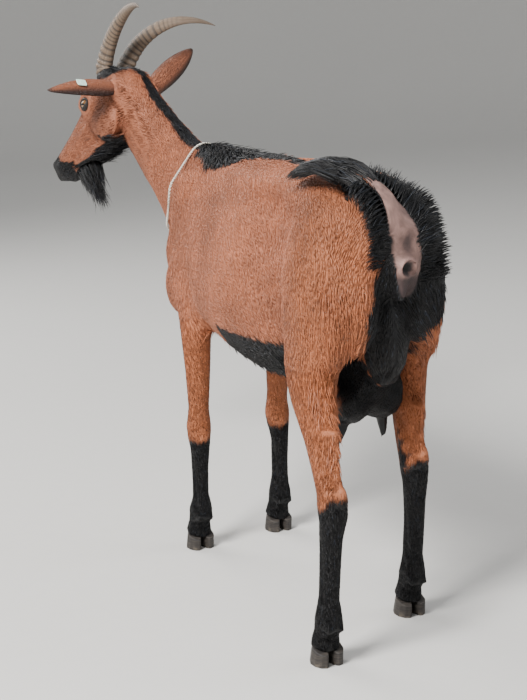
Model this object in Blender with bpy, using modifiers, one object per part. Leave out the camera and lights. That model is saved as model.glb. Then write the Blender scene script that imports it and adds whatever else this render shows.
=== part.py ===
"""A horned dairy doe of Alpine type, life size, standing still with her head turned to her left.

Metres, +Z up. She faces -Y and her left side is +X. The flesh is modelled whole, from lofts and
muscle masses that are blended together, and is then parted with thin cuts into head, neck, trunk,
tail and legs. Eyes, ears, horns, beard, udder, claws and what she wears are pieces of their own.
"""
import math

import bmesh
import bpy
import numpy as np
from mathutils import Matrix, Vector

GAP = 0.0003            # clear space between touching pieces
HEAD_LENGTH = 0.266     # poll to the tip of the nose
HEAD_UNIT = HEAD_LENGTH / 0.262      # the head's own sizes are laid out on one 0.262 long
HORN_LENGTH = 0.236     # along the outer curve
EAR_LENGTH = 0.145
EAR_THICKNESS = 0.0046
EYE_RADIUS = 0.0145
CLAW_LENGTH, CLAW_WIDTH = 0.058, 0.0245
TOE_HEIGHT, HEEL_HEIGHT = 0.040, 0.022      # where hair gives way to horn on a claw

# Height of each joint above the ground.
KNEE_Z = 0.238
HOCK_Z = 0.262
FETLOCK_Z = 0.078
CORONET_Z = 0.033

# Where the middle of each foot stands, x and y, before the origin is set.
FORE_FEET = {"left": (0.087, -0.268), "right": (-0.086, -0.285)}
HIND_FEET = {"left": (0.136, 0.362), "right": (-0.080, 0.243)}
SIDE = {"left": 1.0, "right": -1.0}

# The head: where the poll is, and how it is turned, lowered and tipped.
POLL = Vector((0.059, -0.572, 0.894))
HEAD_YAW = math.radians(30.0)
HEAD_PITCH = math.radians(34.0)
HEAD_ROLL = math.radians(15.0)

# The way each ear points and opens, in the head's axes.
EAR_REACH = {"left": (0.18, 0.98, -0.06), "right": (-0.44, -0.70, 0.56)}
EAR_OPENING = {"left": (0.75, 0.0, -0.60), "right": (0.62, -0.66, 0.20)}

FLESH_VOXEL = 0.0050
FLESH_TRIANGLES = 3900

BAY = (0.36, 0.145, 0.065)
BLACK_COAT = (0.018, 0.016, 0.017)
HORN_GREY = (0.34, 0.29, 0.22)
CLAW_BLACK = (0.05, 0.045, 0.042)
EYE_AMBER = (0.42, 0.24, 0.06)
CORD_WHITE = (0.85, 0.82, 0.76)
TAG_MINT = (0.74, 0.90, 0.83)


# ---------------------------------------------------------------- scene and small tools
def start_scene():
    """An empty scene with one collection for the doe and one for cutters and raw forms."""
    for old in list(bpy.data.objects):
        bpy.data.objects.remove(old, do_unlink=True)
    doe = bpy.data.collections.new("doe")
    workshop = bpy.data.collections.new("workshop")
    bpy.context.scene.collection.children.link(doe)
    bpy.context.scene.collection.children.link(workshop)
    return doe, workshop


def material(name, colour, roughness):
    """One Principled material."""
    made = bpy.data.materials.new(name)
    made.use_nodes = True
    shader = made.node_tree.nodes["Principled BSDF"]
    shader.inputs["Base Color"].default_value = (*colour, 1.0)
    shader.inputs["Roughness"].default_value = roughness
    shader.inputs["Metallic"].default_value = 0.0
    return made


def object_of(name, form, collection):
    """Turn a bmesh into an object, faces outward, and free the bmesh."""
    bmesh.ops.recalc_face_normals(form, faces=form.faces)
    if form.calc_volume(signed=True) < 0:
        bmesh.ops.reverse_faces(form, faces=form.faces)
    mesh = bpy.data.meshes.new(name)
    form.to_mesh(mesh)
    form.free()
    made = bpy.data.objects.new(name, mesh)
    collection.objects.link(made)
    return made


def settle(thing):
    """Apply a thing's modifiers, so that it is a plain mesh."""
    depsgraph = bpy.context.evaluated_depsgraph_get()
    mesh = bpy.data.meshes.new_from_object(thing.evaluated_get(depsgraph))
    thing.modifiers.clear()
    thing.data = mesh
    return thing


def cut(thing, cutter, operation="DIFFERENCE"):
    """Cut a thing with a closed cutter, or keep only what is inside it."""
    boolean = thing.modifiers.new("cut", "BOOLEAN")
    boolean.operation = operation
    boolean.solver = "EXACT"
    boolean.object = cutter
    return settle(thing)


def copy_of(thing, name, collection):
    """A separate copy with its own mesh."""
    made = bpy.data.objects.new(name, thing.data.copy())
    collection.objects.link(made)
    return made


def grown(thing, distance, collection):
    """A copy whose surface lies a little further out, used to keep neighbours clear of it."""
    made = copy_of(thing, thing.name + "_grown", collection)
    form = bmesh.new()
    form.from_mesh(made.data)
    form.normal_update()
    shifts = [vertex.normal * distance * min(vertex.calc_shell_factor(), 3.0)
              for vertex in form.verts]
    for vertex, shift in zip(form.verts, shifts):
        vertex.co += shift
    form.to_mesh(made.data)
    form.free()
    return made


def remove(*things):
    """Delete helpers that have done their work."""
    for thing in things:
        bpy.data.objects.remove(thing, do_unlink=True)


# ---------------------------------------------------------------- ways of making forms
def smooth_rows(rows, steps):
    """Catmull-Rom rows between the given stations, so that a form needs few of them."""
    rows = np.array(rows, dtype=float)
    padded = np.vstack([2 * rows[0] - rows[1], rows, 2 * rows[-1] - rows[-2]])
    made = []
    for index in range(len(rows) - 1):
        a, b, c, d = padded[index:index + 4]
        for step in range(steps):
            t = step / steps
            made.append(0.5 * (2 * b + (c - a) * t + (2 * a - 5 * b + 4 * c - d) * t ** 2
                               + (3 * b - a - 3 * c + d) * t ** 3))
    made.append(rows[-1])
    return np.array(made)


def oval(half_width, above, below, power_above, power_below, sides):
    """Points of an oval whose upper and lower halves may differ in height and fullness."""
    points = []
    for index in range(sides):
        angle = 2 * math.pi * index / sides
        across, rise = math.cos(angle), math.sin(angle)
        power = power_above if rise >= 0 else power_below
        height = above if rise >= 0 else below
        points.append((half_width * math.copysign(abs(across) ** (2 / power), across),
                       height * math.copysign(abs(rise) ** (2 / power), rise)))
    return points


def loft(name, stations, collection, steps=6, sides=28, powers=(2.0, 2.0), turn=(0.0, 0.0)):
    """A closed form through oval stations of (x, y, z, half width, above, below).

    An oval's width lies across the body, along X turned by an angle that runs from turn[0] to
    turn[1]. Its height stands square to the path, and "above" starts out up and forward.
    """
    rows = smooth_rows(stations, steps)
    centres = rows[:, :3]
    tangents = np.gradient(centres, axis=0)
    form = bmesh.new()
    rings = []
    upright = Vector((0.0, -0.5, 0.9))
    for index, (row, tangent) in enumerate(zip(rows, tangents)):
        share = index / (len(rows) - 1)
        angle = turn[0] + (turn[1] - turn[0]) * share
        along = Vector(tangent).normalized()
        across = Vector((math.cos(angle), math.sin(angle), 0.0))
        across = (across - along * across.dot(along)).normalized()
        rise = across.cross(along).normalized()
        if rise.dot(upright) < 0:
            rise = -rise
        upright = rise
        centre = Vector(row[:3])
        ring = [form.verts.new(centre + across * a + rise * b)
                for a, b in oval(row[3], row[4], row[5], *powers, sides)]
        rings.append(ring)
    bridge(form, rings)
    return object_of(name, form, collection)


def mass(name, centre, radii, collection, frame=None, lean=(0.0, 0.0, 0.0), sides=24):
    """An egg-shaped muscle or bone, leaned by Euler angles in degrees."""
    form = bmesh.new()
    bmesh.ops.create_uvsphere(form, u_segments=sides, v_segments=sides * 2 // 3, radius=1.0)
    turned = Matrix.Rotation(math.radians(lean[2]), 4, "Z")
    turned @= Matrix.Rotation(math.radians(lean[1]), 4, "Y")
    turned @= Matrix.Rotation(math.radians(lean[0]), 4, "X")
    placed = Matrix.Translation(centre) @ turned @ Matrix.Diagonal((*radii, 1.0))
    form.transform((frame @ placed) if frame else placed)
    return object_of(name, form, collection)


def blend(name, pieces, voxel, collection):
    """Join overlapping forms into one closed skin of even quads."""
    form = bmesh.new()
    for piece in pieces:
        form.from_mesh(piece.data)
    whole = object_of(name, form, collection)
    remove(*pieces)
    remesh = whole.modifiers.new("blend", "REMESH")
    remesh.mode = "VOXEL"
    remesh.voxel_size = voxel
    return settle(whole)


def relax(thing, rounds, share_of=None):
    """Smooth a skin, by a share that may differ from place to place."""
    smooth = thing.modifiers.new("relax", "SMOOTH")
    smooth.factor = 0.5
    smooth.iterations = rounds
    if share_of:
        group = thing.vertex_groups.new(name="relax")
        for vertex in thing.data.vertices:
            group.add([vertex.index], share_of(vertex.co), "REPLACE")
        smooth.vertex_group = "relax"
    return settle(thing)


def thin_out(thing, triangles):
    """Collapse a skin to about so many triangles, fewer where it is flat."""
    count = sum(len(face.vertices) - 2 for face in thing.data.polygons)
    thin = thing.modifiers.new("thin", "DECIMATE")
    thin.ratio = min(1.0, triangles / count)
    return settle(thing)


# ---------------------------------------------------------------- trunk, neck and tail
def trunk_forms(collection):
    """Barrel, withers, shoulder blades, breast and rump."""
    barrel = [
        # x, y, level of the widest point, half width, height above it, depth below it
        (0.0, -0.400, 0.560, 0.050, 0.075, 0.050),
        (0.0, -0.360, 0.560, 0.080, 0.165, 0.105),
        (0.0, -0.300, 0.560, 0.098, 0.193, 0.134),
        (0.0, -0.220, 0.560, 0.112, 0.199, 0.142),
        (0.0, -0.110, 0.550, 0.135, 0.206, 0.147),
        (0.0, 0.010, 0.545, 0.152, 0.211, 0.157),
        (0.0, 0.090, 0.552, 0.148, 0.208, 0.164),
        (0.0, 0.160, 0.580, 0.124, 0.185, 0.165),
        (0.0, 0.220, 0.620, 0.100, 0.146, 0.155),
        (0.0, 0.290, 0.650, 0.092, 0.106, 0.140),
        (0.0, 0.350, 0.648, 0.078, 0.082, 0.115),
        (0.0, 0.395, 0.632, 0.052, 0.052, 0.080),
    ]
    forms = [loft("barrel", barrel, collection, steps=5, sides=40, powers=(1.9, 2.1))]

    def pair(name, centre, radii, lean=(0, 0, 0)):
        for sign in SIDE.values():
            forms.append(mass(name, (sign * centre[0], centre[1], centre[2]), radii, collection,
                              lean=(lean[0], sign * lean[1], sign * lean[2])))

    forms.append(mass("withers", (0, -0.290, 0.708), (0.036, 0.120, 0.056), collection))
    forms.append(mass("breastbone", (0, -0.315, 0.492), (0.056, 0.086, 0.062), collection,
                      lean=(-18, 0, 0)))
    pair("blade", (0.058, -0.280, 0.612), (0.036, 0.072, 0.120), (-20, 12, 0))
    pair("shoulder_point", (0.056, -0.335, 0.552), (0.036, 0.052, 0.070))
    pair("upper_arm", (0.082, -0.268, 0.512), (0.035, 0.082, 0.062), (35, 0, 0))
    pair("loin", (0.036, 0.085, 0.722), (0.054, 0.240, 0.032))
    pair("hook", (0.058, 0.215, 0.712), (0.034, 0.075, 0.032))
    pair("rump", (0.052, 0.290, 0.684), (0.050, 0.095, 0.052), (-14, 0, 0))
    pair("pin", (0.044, 0.372, 0.648), (0.028, 0.034, 0.030))
    forms.append(mass("anus", (0, 0.402, 0.618), (0.017, 0.018, 0.018), collection))
    forms.append(mass("vulva", (0, 0.392, 0.580), (0.017, 0.015, 0.030), collection,
                      lean=(10, 0, 0)))
    return forms


def neck_form(collection):
    """The neck, deep where it leaves the chest and bending to her left under the head."""
    stations = [
        (0.000, -0.290, 0.610, 0.085, 0.125, 0.120),
        (0.003, -0.355, 0.650, 0.074, 0.104, 0.110),
        (0.012, -0.422, 0.692, 0.060, 0.078, 0.090),
        (0.027, -0.484, 0.742, 0.050, 0.066, 0.074),
        (0.044, -0.525, 0.793, 0.046, 0.058, 0.065),
        (0.060, -0.550, 0.840, 0.045, 0.050, 0.058),
    ]
    return loft("neck_form", stations, collection, turn=(0.0, HEAD_YAW * 0.9))


def tail(collection):
    """The dock and its long hair, raised from the rump and laid forward over the back."""
    stations = [
        (0.000, 0.325, 0.665, 0.030, 0.028, 0.028),
        (0.006, 0.362, 0.692, 0.034, 0.027, 0.026),
        (0.018, 0.374, 0.724, 0.037, 0.022, 0.020),
        (0.033, 0.352, 0.750, 0.039, 0.018, 0.016),
        (0.048, 0.310, 0.766, 0.038, 0.015, 0.013),
        (0.062, 0.256, 0.769, 0.030, 0.012, 0.011),
        (0.074, 0.208, 0.757, 0.012, 0.006, 0.006),
    ]
    return thin_out(loft("tail", stations, collection, steps=4, sides=20), 320)


# ---------------------------------------------------------------- legs
def foreleg_forms(side, foot, collection):
    """Forearm, knee, cannon, fetlock and pastern of one foreleg."""
    x, y = foot
    knee = Vector((x * 0.98, y + 0.028, KNEE_Z))
    stations = [
        (SIDE[side] * 0.078, -0.262, 0.555, 0.036, 0.058, 0.058),
        (SIDE[side] * 0.084, -0.232, 0.480, 0.034, 0.045, 0.048),
        (SIDE[side] * 0.087, -0.226, 0.420, 0.029, 0.036, 0.036),
        (x * 0.97, (knee.y - 0.226) / 2, 0.345, 0.0245, 0.028, 0.027),
        (x * 0.98, knee.y + 0.003, 0.280, 0.0205, 0.0215, 0.0215),
        (knee.x, knee.y, knee.z, 0.0235, 0.0240, 0.0225),
        (x, knee.y + 0.002, KNEE_Z - 0.038, 0.0190, 0.0195, 0.0195),
        (x, y + 0.026, 0.150, 0.0160, 0.0185, 0.0190),
        (x, y + 0.022, FETLOCK_Z + 0.028, 0.0170, 0.0190, 0.0200),
        (x, y + 0.018, FETLOCK_Z, 0.0215, 0.0225, 0.0245),
        (x, y + 0.008, 0.052, 0.0205, 0.0200, 0.0220),
        (x, y + 0.002, CORONET_Z, 0.0245, 0.0225, 0.0245),
        (x, y + 0.002, 0.012, 0.0240, 0.0225, 0.0245),
    ]
    forms = [loft("foreleg", stations, collection, steps=5, sides=20)]
    forms.append(mass("elbow", (SIDE[side] * 0.082, -0.182, 0.478), (0.018, 0.020, 0.024),
                      collection))
    forms.append(mass("knee_back", (knee.x, knee.y + 0.014, KNEE_Z - 0.012),
                      (0.014, 0.013, 0.018), collection))
    forms.extend(dewclaw_bumps(x, y + 0.018, collection))
    return forms


def hindleg_forms(side, foot, collection):
    """Thigh, stifle, gaskin, hock, cannon, fetlock and pastern of one hind leg."""
    x, y = foot
    reach = y - 0.30
    outward = abs(x) - 0.08
    sign = SIDE[side]
    hock = Vector((x * 0.97, y + 0.042, HOCK_Z))
    stifle = Vector((sign * (0.094 + 0.10 * outward), 0.232 + 0.45 * reach, 0.435))
    middle = (stifle + hock) / 2
    stations = [
        (sign * 0.060, 0.285, 0.690, 0.045, 0.080, 0.070),
        (sign * 0.076, 0.282 + 0.10 * reach, 0.610, 0.054, 0.105, 0.088),
        (sign * 0.087, 0.272 + 0.25 * reach, 0.520, 0.047, 0.092, 0.088),
        (stifle.x, stifle.y + 0.020, stifle.z, 0.038, 0.062, 0.062),
        (middle.x, middle.y + 0.008, middle.z + 0.006, 0.0275, 0.038, 0.038),
        (hock.x, hock.y - 0.020, HOCK_Z + 0.042, 0.0205, 0.0245, 0.0255),
        (hock.x, hock.y, HOCK_Z, 0.0230, 0.0270, 0.0255),
        (x * 0.99, y + 0.036, HOCK_Z - 0.045, 0.0190, 0.0215, 0.0225),
        (x, y + 0.028, 0.150, 0.0165, 0.0195, 0.0205),
        (x, y + 0.022, FETLOCK_Z + 0.028, 0.0175, 0.0200, 0.0210),
        (x, y + 0.018, FETLOCK_Z, 0.0220, 0.0230, 0.0250),
        (x, y + 0.008, 0.052, 0.0210, 0.0205, 0.0225),
        (x, y + 0.002, CORONET_Z, 0.0245, 0.0225, 0.0245),
        (x, y + 0.002, 0.012, 0.0240, 0.0225, 0.0245),
    ]
    forms = [loft("hindleg", stations, collection, steps=5, sides=24)]
    heel = Vector((hock.x, hock.y + 0.028, HOCK_Z + 0.020))
    forms.append(mass("hock_point", heel, (0.0115, 0.013, 0.024), collection, lean=(-15, 0, 0)))
    calf = Vector((middle.x, middle.y + 0.044, middle.z + 0.030))
    web = (heel + calf) / 2 + Vector((0, -0.010, -0.006))
    tendon = [(*heel, 0.0085, 0.0100, 0.0100), (*web, 0.0085, 0.0190, 0.0190),
              (*calf, 0.0150, 0.0210, 0.0210)]
    forms.append(loft("tendon", tendon, collection, steps=4, sides=12))
    forms.append(mass("kneecap", (stifle.x, stifle.y - 0.030, stifle.z + 0.012),
                      (0.024, 0.026, 0.036), collection))
    forms.append(mass("ham", (sign * 0.062, 0.345 + 0.12 * reach, 0.560), (0.040, 0.052, 0.085),
                      collection, lean=(8, 0, 0)))
    forms.extend(dewclaw_bumps(x, y + 0.018, collection))
    return forms


def dewclaw_bumps(x, y, collection):
    """The pair of small false claws behind a fetlock."""
    return [mass("dewclaw", (x + step, y + 0.020, FETLOCK_Z - 0.012), (0.0065, 0.0070, 0.0100),
                 collection, lean=(25, 0, 0)) for step in (-0.0120, 0.0120)]


# ---------------------------------------------------------------- head
def head_frame():
    """Axes at the poll: x toward the nose, y toward her left, z out of the forehead."""
    facing = Matrix.Rotation(-math.pi / 2, 4, "Z")
    yaw = Matrix.Rotation(HEAD_YAW, 4, "Z")
    pitch = Matrix.Rotation(HEAD_PITCH, 4, "Y")
    roll = Matrix.Rotation(HEAD_ROLL, 4, "X")
    return Matrix.Translation(POLL) @ yaw @ facing @ pitch @ roll


def head_forms(frame, collection):
    """Skull, jaw and muzzle, in the head's own axes and then placed."""
    profile = [
        # along, level of the widest point, half width, height above it, depth below it
        (-0.030, -0.060, 0.036, 0.038, 0.036),
        (0.000, -0.048, 0.045, 0.044, 0.058),
        (0.040, -0.040, 0.050, 0.048, 0.076),
        (0.075, -0.040, 0.0475, 0.044, 0.076),
        (0.105, -0.046, 0.0420, 0.044, 0.066),
        (0.140, -0.055, 0.0340, 0.042, 0.054),
        (0.175, -0.063, 0.0295, 0.038, 0.044),
        (0.205, -0.069, 0.0280, 0.033, 0.037),
        (0.232, -0.074, 0.0285, 0.028, 0.032),
        (0.250, -0.078, 0.0255, 0.022, 0.025),
        (0.262, -0.080, 0.0170, 0.013, 0.014),
    ]
    rows = smooth_rows(profile, 5)
    form = bmesh.new()
    sides = 32
    rings = [[form.verts.new((row[0], a, row[1] + b))
              for a, b in oval(row[2], row[3], row[4], 2.1, 1.9, sides)] for row in rows]
    bridge(form, rings)
    placed = frame @ Matrix.Scale(HEAD_UNIT, 4)
    form.transform(placed)
    forms = [object_of("skull", form, collection)]

    def lump(name, centre, radii, lean=(0, 0, 0)):
        forms.append(mass(name, centre, radii, collection, placed, lean))

    lump("crown", (0.018, 0, -0.022), (0.040, 0.042, 0.026))
    lump("forehead", (0.062, 0, -0.010), (0.040, 0.032, 0.020), (0, 8, 0))
    lump("nose_bridge", (0.160, 0, -0.036), (0.075, 0.015, 0.014), (0, 14, 0))
    lump("chin", (0.220, 0, -0.106), (0.024, 0.015, 0.010), (0, 4, 0))
    lump("upper_lip", (0.250, 0, -0.088), (0.016, 0.020, 0.014))
    for side in SIDE.values():
        lump("cheek", (0.066, side * 0.034, -0.080), (0.044, 0.0165, 0.038))
        lump("orbit", (0.094, side * 0.040, -0.022), (0.028, 0.0160, 0.021))
        lump("horn_core", (0.038, side * 0.024, -0.003), (0.027, 0.021, 0.024))
        lump("nostril", (0.246, side * 0.0150, -0.066), (0.017, 0.0100, 0.012))
        lump("ear_root", (0.012, side * 0.043, -0.046), (0.018, 0.016, 0.020))
        lump("jaw_bone", (0.135, side * 0.018, -0.104), (0.070, 0.011, 0.015), (0, -6, 0))
    return forms


def head_spot(frame, along, across, out):
    """A place on the head, given in head sizes."""
    return frame @ (Vector((along, across, out)) * HEAD_UNIT)


def eye(side, frame, collection):
    """An eyeball, set under the brow."""
    form = bmesh.new()
    bmesh.ops.create_uvsphere(form, u_segments=12, v_segments=6, radius=EYE_RADIUS)
    form.transform(Matrix.Translation(head_spot(frame, 0.097, SIDE[side] * 0.0370, -0.0265))
                   @ frame.to_3x3().to_4x4())
    return object_of("eye_" + side, form, collection)


def lid_opening(side, frame, collection):
    """The almond-shaped opening between the lids."""
    placed = frame @ Matrix.Scale(HEAD_UNIT, 4)
    return mass("lids", (0.098, SIDE[side] * 0.0560, -0.0265), (0.0125, 0.0160, 0.0078),
                collection, placed, (0, -14, SIDE[side] * -14), sides=12)


def horn(side, frame, collection):
    """A horn that rises from the brow, sweeps back and spreads, ridged in front."""
    sign = SIDE[side]
    steps, sides, buried = 22, 8, 0.030
    lean, sunk_lean, bend, tighten = math.radians(46), math.radians(14), 7.1, 1.2
    step = (HORN_LENGTH + buried) / steps
    points = [Vector((0.037 + buried * math.sin(sunk_lean), sign * 0.0235,
                      0.0205 - buried * math.cos(sunk_lean)))]
    for index in range(steps):
        travelled = (index + 0.5) * step - buried
        angle = lean + bend * travelled + tighten * travelled ** 2 if travelled > 0 else sunk_lean
        travelled = max(0.0, travelled)
        spread = 0.08 + 2.2 * travelled
        heading = Vector((-math.sin(angle), sign * spread, math.cos(angle))).normalized()
        points.append(points[-1] + heading * step)
    form = bmesh.new()
    rings = []
    for index, point in enumerate(points):
        share = index / steps
        taper = (1 - share) ** 0.62
        ridge = 1 + 0.045 * (1 if index % 2 else -1) * max(0.0, 1 - share / 0.6)
        depth = max(0.0210 * taper * ridge, 0.0020)
        width = max(0.0142 * taper * ridge, 0.0017)
        ahead = points[min(index + 1, steps)] - points[max(index - 1, 0)]
        across = Vector((0.25, sign, 0))
        across = (across - ahead * (across.dot(ahead) / ahead.length_squared)).normalized()
        front = across.cross(ahead).normalized()
        turn = [2 * math.pi * k / sides for k in range(sides)]
        rings.append([form.verts.new(point + front * depth * math.cos(a)
                                     + across * width * math.sin(a)) for a in turn])
    bridge(form, rings)
    form.transform(frame)
    return object_of("horn_" + side, form, collection)


def bridge(form, rings):
    """Join rings of equally many points into a closed tube with flat ends."""
    for low, high in zip(rings, rings[1:]):
        for index in range(len(low)):
            after = (index + 1) % len(low)
            form.faces.new((low[index], low[after], high[after], high[index]))
    form.faces.new(rings[0][::-1])
    form.faces.new(rings[-1])


def ear_point(side, frame, along, across):
    """A place on an ear's middle sheet and the way out of its back; across runs from -1 to 1."""
    reach = Vector(EAR_REACH[side]).normalized()
    opening = Vector(EAR_OPENING[side])
    opening = (opening - reach * opening.dot(reach)).normalized()
    edgeward = opening.cross(reach).normalized()
    root = Vector((0.012, SIDE[side] * 0.046, -0.038)) - reach * 0.016
    half = 0.034 * math.sin(math.pi * (0.17 + 0.83 * along)) ** 0.75 + 0.0025
    cup = math.radians(128 - 66 * along)
    radius = half / cup
    angle = across * cup
    droop = opening * (0.010 * along ** 2 - 0.010 * math.sin(math.pi * along))
    spot = root + reach * (EAR_LENGTH + 0.016) * along + droop
    spot += edgeward * radius * math.sin(angle) + opening * radius * (1 - math.cos(angle))
    outward = edgeward * math.sin(angle) - opening * math.cos(angle)
    return frame @ spot, frame.to_3x3() @ outward


def ear(side, frame, collection):
    """A leaf-shaped ear, a tube at its root that opens along its length."""
    lengths, columns = 9, 6
    form = bmesh.new()
    grid = [[form.verts.new(ear_point(side, frame, row / (lengths - 1),
                                      2 * column / (columns - 1) - 1)[0])
             for column in range(columns)] for row in range(lengths)]
    for low, high in zip(grid, grid[1:]):
        for column in range(columns - 1):
            form.faces.new((low[column], low[column + 1], high[column + 1], high[column]))
    made = object_of("ear_" + side, form, collection)
    shell = made.modifiers.new("thickness", "SOLIDIFY")
    shell.thickness = EAR_THICKNESS
    shell.offset = 0.0
    return settle(made)


def beard(frame, collection):
    """The tuft of long hair under the chin, swept back as it hangs."""
    chin = head_spot(frame, 0.190, 0.0, -0.098)
    stations = [
        (*chin, 0.015, 0.024, 0.024),
        (chin.x - 0.008, chin.y + 0.012, chin.z - 0.030, 0.015, 0.023, 0.023),
        (chin.x - 0.018, chin.y + 0.026, chin.z - 0.062, 0.012, 0.017, 0.017),
        (chin.x - 0.028, chin.y + 0.040, chin.z - 0.094, 0.004, 0.005, 0.005),
    ]
    return loft("beard", stations, collection, steps=3, sides=10, turn=(HEAD_YAW, HEAD_YAW))


# ---------------------------------------------------------------- udder and claws
def udder(collection):
    """The bag between the hind legs with its two teats."""
    pieces = [mass("bag", (0.0, 0.250, 0.440), (0.062, 0.080, 0.085), collection,
                   lean=(12, 0, 0)),
              mass("escutcheon", (0.0, 0.330, 0.500), (0.044, 0.050, 0.085), collection)]
    for sign in SIDE.values():
        pieces.append(mass("half", (sign * 0.028, 0.262, 0.398), (0.038, 0.054, 0.050),
                           collection))
        teat = [(sign * 0.032, 0.258, 0.372, 0.019, 0.020, 0.020),
                (sign * 0.036, 0.254, 0.345, 0.012, 0.013, 0.013),
                (sign * 0.040, 0.250, 0.320, 0.0085, 0.009, 0.009),
                (sign * 0.041, 0.249, 0.311, 0.004, 0.004, 0.004)]
        pieces.append(loft("teat", teat, collection, steps=4, sides=14))
    return thin_out(relax(blend("udder", pieces, 0.0040, collection), 6), 260)


def claw_top(y):
    """Height at which hair gives way to horn, from the toe at -y to the heel."""
    return HEEL_HEIGHT + (TOE_HEIGHT - HEEL_HEIGHT) * (0.5 - y / CLAW_LENGTH)


def claw(name, centre, outward, collection):
    """Half a cloven hoof: flat sole, upright inner wall, sloping outer wall and toe."""
    sides = 12
    form = bmesh.new()
    rings = []
    for share in (0.0, 0.45, 1.0):
        ring = []
        for index in range(sides):
            angle = 2 * math.pi * index / sides
            forward, outer = math.cos(angle), math.sin(angle)
            narrow = 1 - 0.50 * max(0.0, forward) ** 2
            reach = outer * (0.72 if outer > 0 else 0.28) * CLAW_WIDTH * narrow
            y = -forward * CLAW_LENGTH / 2 * (1 - 0.20 * share) + 0.008 * share
            ring.append(form.verts.new((outward * reach * (1 - 0.08 * share), y,
                                        claw_top(y) * share)))
        rings.append(ring)
    bridge(form, rings)
    splay = Matrix.Rotation(math.radians(5.0) * -outward, 4, "Z")
    form.transform(Matrix.Translation(centre) @ splay)
    return object_of(name, form, collection)


def foot_cutter(x, y, collection):
    """A block below the sloping top of the claws, with a little clear space above them."""
    form = bmesh.new()
    bmesh.ops.create_cube(form, size=0.12)
    slope = math.atan2(TOE_HEIGHT - HEEL_HEIGHT, CLAW_LENGTH)
    form.transform(Matrix.Translation((x, y, claw_top(0.0) + 2 * GAP))
                   @ Matrix.Rotation(-slope, 4, "X") @ Matrix.Translation((0, 0, -0.06)))
    return object_of("foot_cutter", form, collection)


# ---------------------------------------------------------------- parting the flesh
def plane_frame(point, normal):
    """Axes on a cut: z along its normal, x across the body."""
    normal = Vector(normal).normalized()
    across = Vector((1, 0, 0))
    across = (across - normal * across.dot(normal)).normalized()
    made = Matrix((across, normal.cross(across), normal)).transposed().to_4x4()
    return Matrix.Translation(point) @ made


def block(name, frame, low, high, collection):
    """A box between two corners in a frame of its own."""
    form = bmesh.new()
    bmesh.ops.create_cube(form, size=1.0)
    low, high = Vector(low), Vector(high)
    form.transform(frame @ Matrix.Translation((low + high) / 2)
                   @ Matrix.Diagonal((*(high - low), 1.0)))
    return object_of(name, form, collection)


def wedge(name, corners, collection):
    """A flat-faced cutter round the given corners."""
    form = bmesh.new()
    for corner in corners:
        form.verts.new(corner)
    bmesh.ops.convex_hull(form, input=form.verts)
    return object_of(name, form, collection)


def part_off(name, flesh, cutter, collection, workshop):
    """Take the flesh inside a cutter as a node of its own and leave a thin gap around it."""
    wider = grown(cutter, 2 * GAP, workshop)
    piece = cut(copy_of(flesh, name, collection), cutter, "INTERSECT")
    cut(flesh, wider)
    remove(cutter, wider)
    return piece


def foreleg_cutter(sign, workshop):
    """From the armpit, rising outward across the elbow, down to below the ground."""
    top = [(sign * x, y, z) for x, z in ((0.002, 0.388), (0.26, 0.615))
           for y in (-0.315, -0.142)]
    foot = [(sign * x, y, -0.05) for x in (0.002, 0.26) for y in (-0.42, -0.142)]
    return wedge("foreleg_cutter", top + foot, workshop)


def hindleg_cutter(sign, workshop):
    """From the groin, rising outward across the thigh, down to below the ground."""
    top = [(sign * 0.045, 0.130, 0.475), (sign * 0.004, 0.300, 0.455),
           (sign * 0.004, 0.480, 0.455), (sign * 0.28, 0.130, 0.72), (sign * 0.28, 0.480, 0.72)]
    foot = [(sign * x, y, -0.05) for x in (0.004, 0.28) for y in (0.120, 0.520)]
    return wedge("hindleg_cutter", top + foot, workshop)


def part_flesh(flesh, frame, doe, workshop):
    """Cut the whole flesh into head, neck and legs; what is left is the trunk."""
    throat = head_spot(frame, -0.006, 0.0, -0.060)
    head_normal = frame.to_3x3() @ Vector((0.950, 0, 0.312))
    ahead = block("head_cutter", plane_frame(throat, head_normal), (-0.2, -0.2, 0.0),
                  (0.2, 0.2, 0.5), workshop)
    head = part_off("head", flesh, ahead, doe, workshop)
    neck_base = plane_frame((0, -0.378, 0.655), (0.0, -0.84, 0.54))
    ahead = block("neck_cutter", neck_base, (-0.16, -0.25, 0.0), (0.20, 0.25, 0.5), workshop)
    neck = part_off("neck", flesh, ahead, doe, workshop)
    for side, sign in SIDE.items():
        part_off("foreleg_" + side, flesh, foreleg_cutter(sign, workshop), doe, workshop)
        part_off("hindleg_" + side, flesh, hindleg_cutter(sign, workshop), doe, workshop)
    flesh.name = "trunk"
    doe.objects.link(flesh)
    workshop.objects.unlink(flesh)
    return head, neck


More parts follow.
